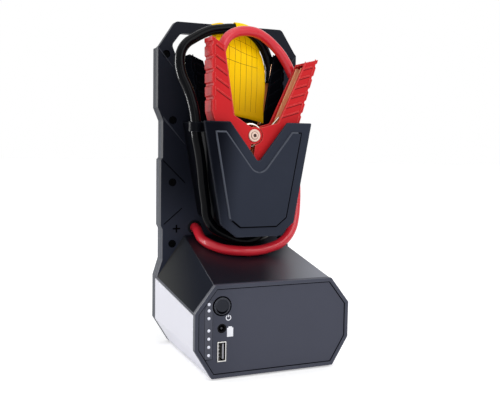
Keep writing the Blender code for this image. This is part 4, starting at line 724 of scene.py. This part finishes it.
def cover_welt():
    """The welt round the cover's field, in two tubes: light on its left and along the notch, a painted highlight,
    and dark below and to the right, painted shade.

    Long runs get a point near each end, so that the tube bends only at the corners.
    """
    ring = [Vector(p) for p in inset_ring(both_sides(COVER_HALF, (COVER_NOTCH,)), FIELD_INSET)]
    tip = ring[4]
    right, left = (ring[3] - tip).normalized(), (ring[5] - tip).normalized()
    half = math.acos(right.dot(left)) / 2
    centre = tip + (right + left).normalized() * FIELD_BEND / math.sin(half)
    parts = 6
    arc = []
    for k in range(-parts, parts + 1):
        turn = (math.pi / 2 - half) * k / parts - math.pi / 2
        arc.append(centre + Vector((math.cos(turn), math.sin(turn))) * FIELD_BEND)
    light = [ring[7], ring[6], ring[5], *arc, ring[3], ring[3].lerp(ring[2], 0.65)]
    dark = [ring[2].lerp(ring[3], 0.30), ring[2], ring[1], ring[0], ring[8], ring[7].lerp(ring[8], 0.2)]
    for name, chain, finish, radius in (("cover_welt_light", light, WELT_HIGHLIGHT, 0.0009),
                                        ("cover_welt_dark", dark, PRINT_AND_SHADE_DARK, 0.0007)):
        route = []
        for a, b in zip(chain, chain[1:]):
            route += [a, a.lerp(b, 0.06), b.lerp(a, 0.06)] if (b - a).length > 0.004 else [a]
        points = [(p.x, WELT_FRONT_Y + radius, p.y + BASE_Z) for p in [*route, chain[-1]]]
        new_piece(name, tube(name, points, radius, 12), finish, "pack")


def light_points():
    """Seven light points, each a low dome in a thin ring."""
    dome = [(0.00118, -0.0001), (0.00112, 0.00010), (0.00080, 0.00030), (0.00040, 0.00040), (0.0, 0.00042)]
    ring = [(0.00118, 0.00002), (0.00150, 0.00002), (0.00155, -0.0001), (0.00118, -0.0001), (0.00118, 0.00002)]
    for name, profile, finish in (("light_points", dome, PIP), ("light_rings", ring, LENS)):
        work = bmesh.new()
        for z in LED_HEIGHTS:
            lathe(work, (LED_X, FRONT_Y + 0.0006, z + BASE_Z), profile)
        new_piece(name, smooth(from_bmesh(name, work), ROUND_SHARP), finish, "pack")


def dark_rings():
    """Painted shade: dark linings in the wells of the tower's screws and in the gap round the button."""
    well = [(0.0032, -0.00005), (0.0032, 0.00004), (0.00268, 0.00006), (0.00262, -0.0010)]
    gap = [(0.0072, -0.00005), (0.0072, 0.00004), (0.0064, 0.00005), (0.0063, -0.0012)]
    work = bmesh.new()
    for side in (-1, 1):
        for x, z in SCREW_WELLS:
            lathe(work, (side * x, TOWER_Y, z + BASE_Z), well, 24)
    lathe(work, (PORT_X, FACE_Y, BUTTON_Z + BASE_Z), gap, 40)
    new_piece("dark_wells", smooth(from_bmesh("dark_wells", work), ROUND_SHARP), PRINT_AND_SHADE_DARK, "pack")


def button_crescent():
    """Painted shade: a dark crescent on the lower inside of the dished button, on the slope of its rim."""
    steps, start, sweep = 24, 188.0, 150.0
    middle, half_width = 0.0047, 0.00065
    rim_radius, rim_run, rim_rise, proud = 0.0053, 0.0019, 0.00056, 0.00006
    work = bmesh.new()
    rows = []
    for i in range(steps + 1):
        turn = math.radians(start + sweep * i / steps)
        half = half_width * math.sin(math.pi * i / steps) + 0.00002
        row = []
        for radius in (middle - half, middle + half):
            y = FRONT_Y + rim_rise * (rim_radius - radius) / rim_run - proud
            height = BUTTON_Z + BASE_Z + radius * math.sin(turn)
            row.append(work.verts.new((PORT_X + radius * math.cos(turn), y, height)))
        rows.append(row)
    for a, b in zip(rows, rows[1:]):
        work.faces.new((a[0], a[1], b[1], b[0]))
    piece = new_piece("button_crescent", from_bmesh("button_crescent", work), PRINT_AND_SHADE_DARK, "button")
    piece.modifiers.new("thick", "SOLIDIFY").thickness = 0.00004


def socket_details():
    """The pale strip on the tongue of the USB socket and its four spring contacts on the other side."""
    z, front = USB_Z + BASE_Z, FRONT_Y + 0.0004
    strip = bar_outline((PORT_X + 0.0012, z - 0.0055), (PORT_X + 0.0012, z + 0.0055), 0.0012)
    parts = [plate("strip", strip, front + 0.0010, front + 0.0013, 0.00008)]
    for step in (-0.0039, -0.0013, 0.0013, 0.0039):
        contact = bar_outline((PORT_X - 0.0024, z + step), (PORT_X - 0.0013, z + step), 0.0006)
        parts.append(plate("contact", contact, front + 0.0014, front + 0.0018, 0.00008))
    joined("usb_contacts", parts, GREY_TIN, "pack")


# ---------------------------------------------------------------- clamps
def clamp_frames(side, y, drop=0.0, squeeze=0.0):
    """Matrices to the world from a clamp's own frame, and from that of its fixed half and of its free half."""
    place = Matrix.Translation((-side * CLAMP_PIVOT_X, y, CLAMP_PIVOT_Z - drop + BASE_Z))
    upright = place @ Matrix.Diagonal((side, 1.0, 1.0, 1.0)) @ Matrix.Rotation(CLAMP_TILT, 4, "Y")
    fixed = upright @ Matrix.Diagonal((-1.0, 1.0, 1.0, 1.0))
    return upright, fixed, upright @ Matrix.Rotation(-squeeze, 4, "Y")


def crossing(point, heading, start, end):
    """Where the ray from point meets the line through start and end."""
    side = Vector((-(end - start).y, (end - start).x))
    return point + heading * ((start - point).dot(side) / heading.dot(side))


def on_both_faces(name, bars, sunk, bevel, matrix):
    """Plates from (outline, height) on both faces of a grip."""
    plates = []
    for outline, proud in bars:
        for face in (-1, 1):
            low, high = sorted((face * (CLAMP_HALF_WIDTH - sunk), face * (CLAMP_HALF_WIDTH + proud)))
            plates.append(plate(name, outline, low, high, bevel, matrix))
    return plates


def grip_ribs(name, matrix, body, finish, first, pitch, count):
    """Slanted ribs on both faces of a grip, and the broken ridge beside its finger valleys.

    On a red grip each rib also has a darker line below it, a painted shadow.
    """
    length = (GRIP_SHOULDER - GRIP_END).length
    along = (GRIP_SHOULDER - GRIP_END) / length
    inward = Vector((along.y, -along.x))
    down = Vector((-math.cos(RIB_SLOPE), -math.sin(RIB_SLOPE)))
    bars = []
    for i in range(count):
        start = GRIP_END + along * (first + i * pitch) + inward * RIB_INSET
        end = crossing(start, down, *GRIP_INNER) - down * RIB_SHORT_OF_INNER
        bars.append((bar_outline(start, end, RIB_WIDTH), RIB_PROUD))
    valleys = [VALLEY_FIRST + i * VALLEY_PITCH for i in range(VALLEY_COUNT)]
    starts = [RIDGE_TOP_GAP] + [v + VALLEY_MOUTH / 2 for v in valleys]
    ends = [v - VALLEY_MOUTH / 2 for v in valleys] + [length - RIDGE_BOTTOM_GAP]
    for start, end in zip(starts, ends):
        line = [GRIP_END + along * t + inward * RIDGE_INSET for t in (start, end)]
        bars.append((bar_outline(*line, RIDGE_WIDTH), RIDGE_PROUD))
    top, bottom = (p + Vector((INNER_RIDGE_INSET, 0.0)) for p in GRIP_INNER)
    top += (bottom - top).normalized() * INNER_RIDGE_INSET
    bars.append((bar_outline(top, bottom, INNER_RIDGE_WIDTH), INNER_RIDGE_PROUD))
    joined(name, on_both_faces(name, bars, 0.0004, 0.00028, matrix), finish, body)
    if finish is not RED:
        return
    below = Vector((-down.y, down.x)) * RIB_SHADE_BELOW
    shades = []
    for outline, _ in bars[:count]:
        line = [Vector(outline[k]).lerp(Vector(outline[3 - k]), 0.5) + below for k in (0, 1)]
        shades.append((bar_outline(*line, RIB_SHADE_WIDTH), RIB_SHADE_PROUD))
    joined(f"{name}_shade", on_both_faces(name, shades, 0.0002, 0.00005, matrix), RED_RIB_SHADOW, body)


def spring(name, upright):
    """The torsion spring as one smooth wire, with a leg on each side."""
    turns = SPRING_WHOLE_TURNS + 0.5 - SPRING_LEAN / math.pi
    rise = SPRING_PITCH * turns
    steps = 96
    coil = []
    for i in range(steps + 1):
        angle = math.pi + SPRING_LEAN + 2 * math.pi * turns * i / steps
        x, z = SPRING_RADIUS * math.cos(angle), SPRING_RADIUS * math.sin(angle)
        coil.append(Vector((x, rise * (i / steps - 0.5), z)))
    leg = Vector((math.sin(SPRING_LEAN), 0.0, math.cos(SPRING_LEAN))) * SPRING_LEG
    left = coil[0] + Vector((-leg.x, 0.0, leg.z))
    route = [left, left.lerp(coil[0], 0.5), *coil, coil[-1] + leg * 0.5, coil[-1] + leg]
    mesh = tube(f"{name}_wire", [upright @ p for p in route], SPRING_WIRE, 12)
    piece = new_piece(f"{name}_wire", mesh, STEEL, None)
    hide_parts(name)
    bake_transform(piece)


def rivet_hollow(name, pivot, body):
    """Painted shade: a dark disc in the hollow of the rivet's head, and a thin dark ring round its hub."""
    hollow = [(0.0, 0.01000), (0.00128, 0.01012), (0.00146, 0.01008), (0.00150, 0.0099)]
    ring = [(0.00280, 0.00946), (0.00284, 0.00954), (0.00306, 0.00954), (0.00312, 0.00946)]
    work = bmesh.new()
    lathe(work, pivot, hollow, 24)
    lathe(work, pivot, ring, 32)
    new_piece(name, smooth(from_bmesh(name, work), ROUND_SHARP), RIVET_SHADE, body)


def clamps():
    for colour, finish, frames in (
        ("red", RED, clamp_frames(1, RED_CLAMP_Y)),
        ("black", GRIP_BLACK, clamp_frames(-1, BLACK_CLAMP_Y, BLACK_CLAMP_DROP, BLACK_SQUEEZE)),
    ):
        upright, fixed, free = frames
        body, free_body, slot = f"{colour}_clamp", f"{colour}_free_half", f"{colour}_plastic"
        grip_ribs(f"{colour}_fixed_ribs", fixed, body, finish, first=0.0056, pitch=0.00825, count=5)
        grip_ribs(f"{colour}_free_ribs", free, free_body, finish, first=0.0070, pitch=0.00740, count=6)
        spring(f"{colour}_spring", upright)
        rivet_hollow(f"{colour}_rivet_hollow", upright.translation, body)


# ---------------------------------------------------------------- tag
TAG_THICKNESS = 0.0003
TAG_REACH = CABLE_RADIUS + 0.0008  # from the middle of the cable to the film round it
TAG_COLUMNS = (-0.0255, -0.0165, -0.0080, -0.0020, 0.0050, 0.0110, 0.0165, 0.0212)
# Height of each row below the cable, and its y at the left and the right edge.
TAG_ROWS = ((0.2390, 0.0104, 0.0200), (0.2270, 0.0103, 0.0150), (0.2120, 0.0101, 0.0110), (0.1990, 0.0097, 0.0106))
TAG_BOTTOM = (0.1925, 0.1842)  # the lower edge's height at the left and at the right
TAG_LEAN = 0.0012  # how far the right edge moves left from row to row
TAG_TOP_RISE = 0.0075  # of the first row, at the left edge
TAG_TUCK = 0.0012  # the film comes forward below the cable, most at the left edge
TAG_FLARE = 0.0006  # the lower edge stands back at the right
TAG_EAR, TAG_EAR_COLUMNS = 0.0052, 2  # the left corner stands up behind the cable
TAG_CORNER = ((0.0184, 0.0222, 0.2465), (0.0186, 0.0222, 0.2420), (0.0194, 0.0186, 0.2365))  # the cut right corner
TAG_FINER = 4
TAG_MIDDLE_COLUMN, TAG_FREE_ROW = 3 * TAG_FINER, 2 * TAG_FINER  # of the finer grid
NECK_COLUMNS = range(2 * TAG_FINER, 4 * TAG_FINER + 1)
NECK_TURN, NECK_STEPS = math.radians(224.0), 24


def over_cable(x):
    """The (y, z) of the middle of the black cable's upper run at this x."""
    upper = [p for p in BLACK_LINE if p.z > TAG_ROWS[0][0]]
    for a, b in zip(upper, upper[1:]):
        if a.x <= x <= b.x:
            t = (x - a.x) / (b.x - a.x)
            return a.y + (b.y - a.y) * t, a.z + (b.z - a.z) * t
    return upper[-1].y, upper[-1].z


def tag_column(column):
    """Points from the top edge behind the cable down to the slanted bottom."""
    x, share = TAG_COLUMNS[column], column / (len(TAG_COLUMNS) - 1)
    rows = [[x - TAG_LEAN * share * i, left + (right - left) * share * share, z]
            for i, (z, left, right) in enumerate(TAG_ROWS)]
    rows[0][2] += TAG_TOP_RISE * (1.0 - share) ** 2
    low_left, low_right = TAG_BOTTOM
    bottom = (rows[-1][0], TAG_ROWS[-1][1] + TAG_FLARE * share, low_left + (low_right - low_left) * share)
    if share == 1.0:
        top = [*TAG_CORNER]
        rows = rows[1:]
    else:
        y, z = over_cable(x)
        behind = y + TAG_REACH
        ear = TAG_EAR if column < TAG_EAR_COLUMNS else 0.0
        top = [(x, behind, z + ear), (x, behind - TAG_TUCK * (1.0 - share), z - CABLE_RADIUS)]
    return [Vector(p) for p in (*top, *rows, bottom)]


def tag():
    """The yellow film behind the black cable, with the neck that is folded forward over it."""
    columns = [finer(tag_column(i), TAG_FINER) for i in range(len(TAG_COLUMNS))]
    rows = [finer([column[r] for column in columns], TAG_FINER) for r in range(len(columns[0]))]
    down, along = [0.0], [0.0]  # the film's own height and width, measured in its middle and below the cable
    for above, below in zip(rows, rows[1:]):
        down.append(down[-1] + (below[TAG_MIDDLE_COLUMN] - above[TAG_MIDDLE_COLUMN]).length)
    for a, b in zip(rows[TAG_FREE_ROW], rows[TAG_FREE_ROW][1:]):
        along.append(along[-1] + (b - a).length)
    work = bmesh.new()
    film = work.loops.layers.uv.new("film")
    grid = [[work.verts.new(p) for p in row] for row in rows]
    place = {vert: (along[c], down[r]) for r, row in enumerate(grid) for c, vert in enumerate(row)}
    faces = [(upper[c], lower[c], lower[c + 1], upper[c + 1])
             for upper, lower in zip(grid, grid[1:]) for c in range(len(upper) - 1)]
    neck = []
    for c in NECK_COLUMNS:
        x = rows[0][c].x
        y, z = over_cable(x)
        line = [grid[0][c]]
        for i in range(1, NECK_STEPS + 1):
            turn = NECK_TURN * i / NECK_STEPS
            line.append(work.verts.new((x, y + TAG_REACH * math.cos(turn), z + TAG_REACH * math.sin(turn))))
            place[line[-1]] = (along[c], -TAG_REACH * turn)
        neck.append(line)
    faces += [(b[i], b[i + 1], a[i + 1], a[i]) for a, b in zip(neck, neck[1:]) for i in range(NECK_STEPS)]
    for corners in faces:
        for loop in work.faces.new(corners).loops:
            loop[film].uv = place[loop.vert]
    mesh = from_bmesh("tag_film", work)
    mesh.polygons.foreach_set("use_smooth", [True] * len(mesh.polygons))
    piece = new_piece("tag_film", mesh, FILM, "black_clamp")
    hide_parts("cable_tag")
    thick = piece.modifiers.new("film", "SOLIDIFY")
    thick.thickness = TAG_THICKNESS
    thick.offset = 0.0


hood_skin()
tower_marks()
face_marks()
cover_welt()
bezel_groove()
light_points()
dark_rings()
button_crescent()
socket_details()
clamps()
tag()

# ---------------------------------------------------------------- carried-over nodes
# The finish of each CAD node that shows as it is, and how much its edges are rounded.
NODE_FINISHES = (
    (BLACK, 0.00035, "front_shell"),
    (GREY, 0.0005, "rear_shell"),
    (PALE, 0.0004, "base_tray"),
    (SLATE, 0.0003, "front_bezel"),
    (HOLSTER, 0.0, "holster_cover"),
    (TUB, 0.0003, "holster_body"),
    (BUTTON, 0.0, "power_button"),
    (LENS, 0.0, "led_light_pipe"),
    (STEEL, 0.0001, "usb_shell"),
    (TONGUE, 0.0002, "usb_tongue"),
    (RUBBER, 0.0001, "dc_jack"),
    (PIN_STEEL, 0.0001, "dc_jack_pin"),
    (DARK_STEEL, 0.0, *(f"tower_screw_{i}" for i in range(1, 9))),
    (RED, 0.0004, "red_grip_fixed", "red_grip_free"),
    (GRIP_BLACK, 0.0004, "black_grip_fixed", "black_grip_free"),
    (RIVET, 0.0, "red_rivet", "black_rivet"),
    (COPPER, 0.0002, "red_jaw_fixed", "red_jaw_free", "black_jaw_fixed", "black_jaw_free", "red_cable_lug",
     "black_cable_lug", "positive_busbar", "negative_busbar"),
    (RUBBER, 0.0, "red_grommet", "black_grommet", "foot_front_left", "foot_front_right", "foot_rear_left",
     "foot_rear_right"),
    (RUBBER, 0.0003, "battery_pad"),
    (RUBBER, 0.0004, "output_relay"),
    (FOIL, 0.0, *(f"battery_cell_{i}" for i in range(1, 4))),
    (BOARD, 0.0, "control_board", "management_board"),
    (STEEL, 0.0003, "battery_bracket", "button_switch"),
)


def dress_node(name, width, finish):
    """A CAD node with its own finish, its facets joined and its edges rounded."""
    obj = NODES[name]
    obj.data.materials.clear()
    obj.data.materials.append(finish)
    weld = obj.modifiers.new("weld", "WELD")
    weld.merge_threshold = 1e-6
    if width:
        merge = obj.modifiers.new("merge", "DECIMATE")
        merge.decimate_type = "DISSOLVE"
        merge.angle_limit = math.radians(0.6)
        bevel = obj.modifiers.new("round", "BEVEL")
        bevel.width = width
        bevel.segments = 2
        bevel.limit_method = "ANGLE"
        bevel.angle_limit = math.radians(30.0)
        bevel.use_clamp_overlap = True
        bevel.harden_normals = False


for node_finish, rounding, *node_names in NODE_FINISHES:
    for node_name in node_names:
        dress_node(node_name, rounding, node_finish)
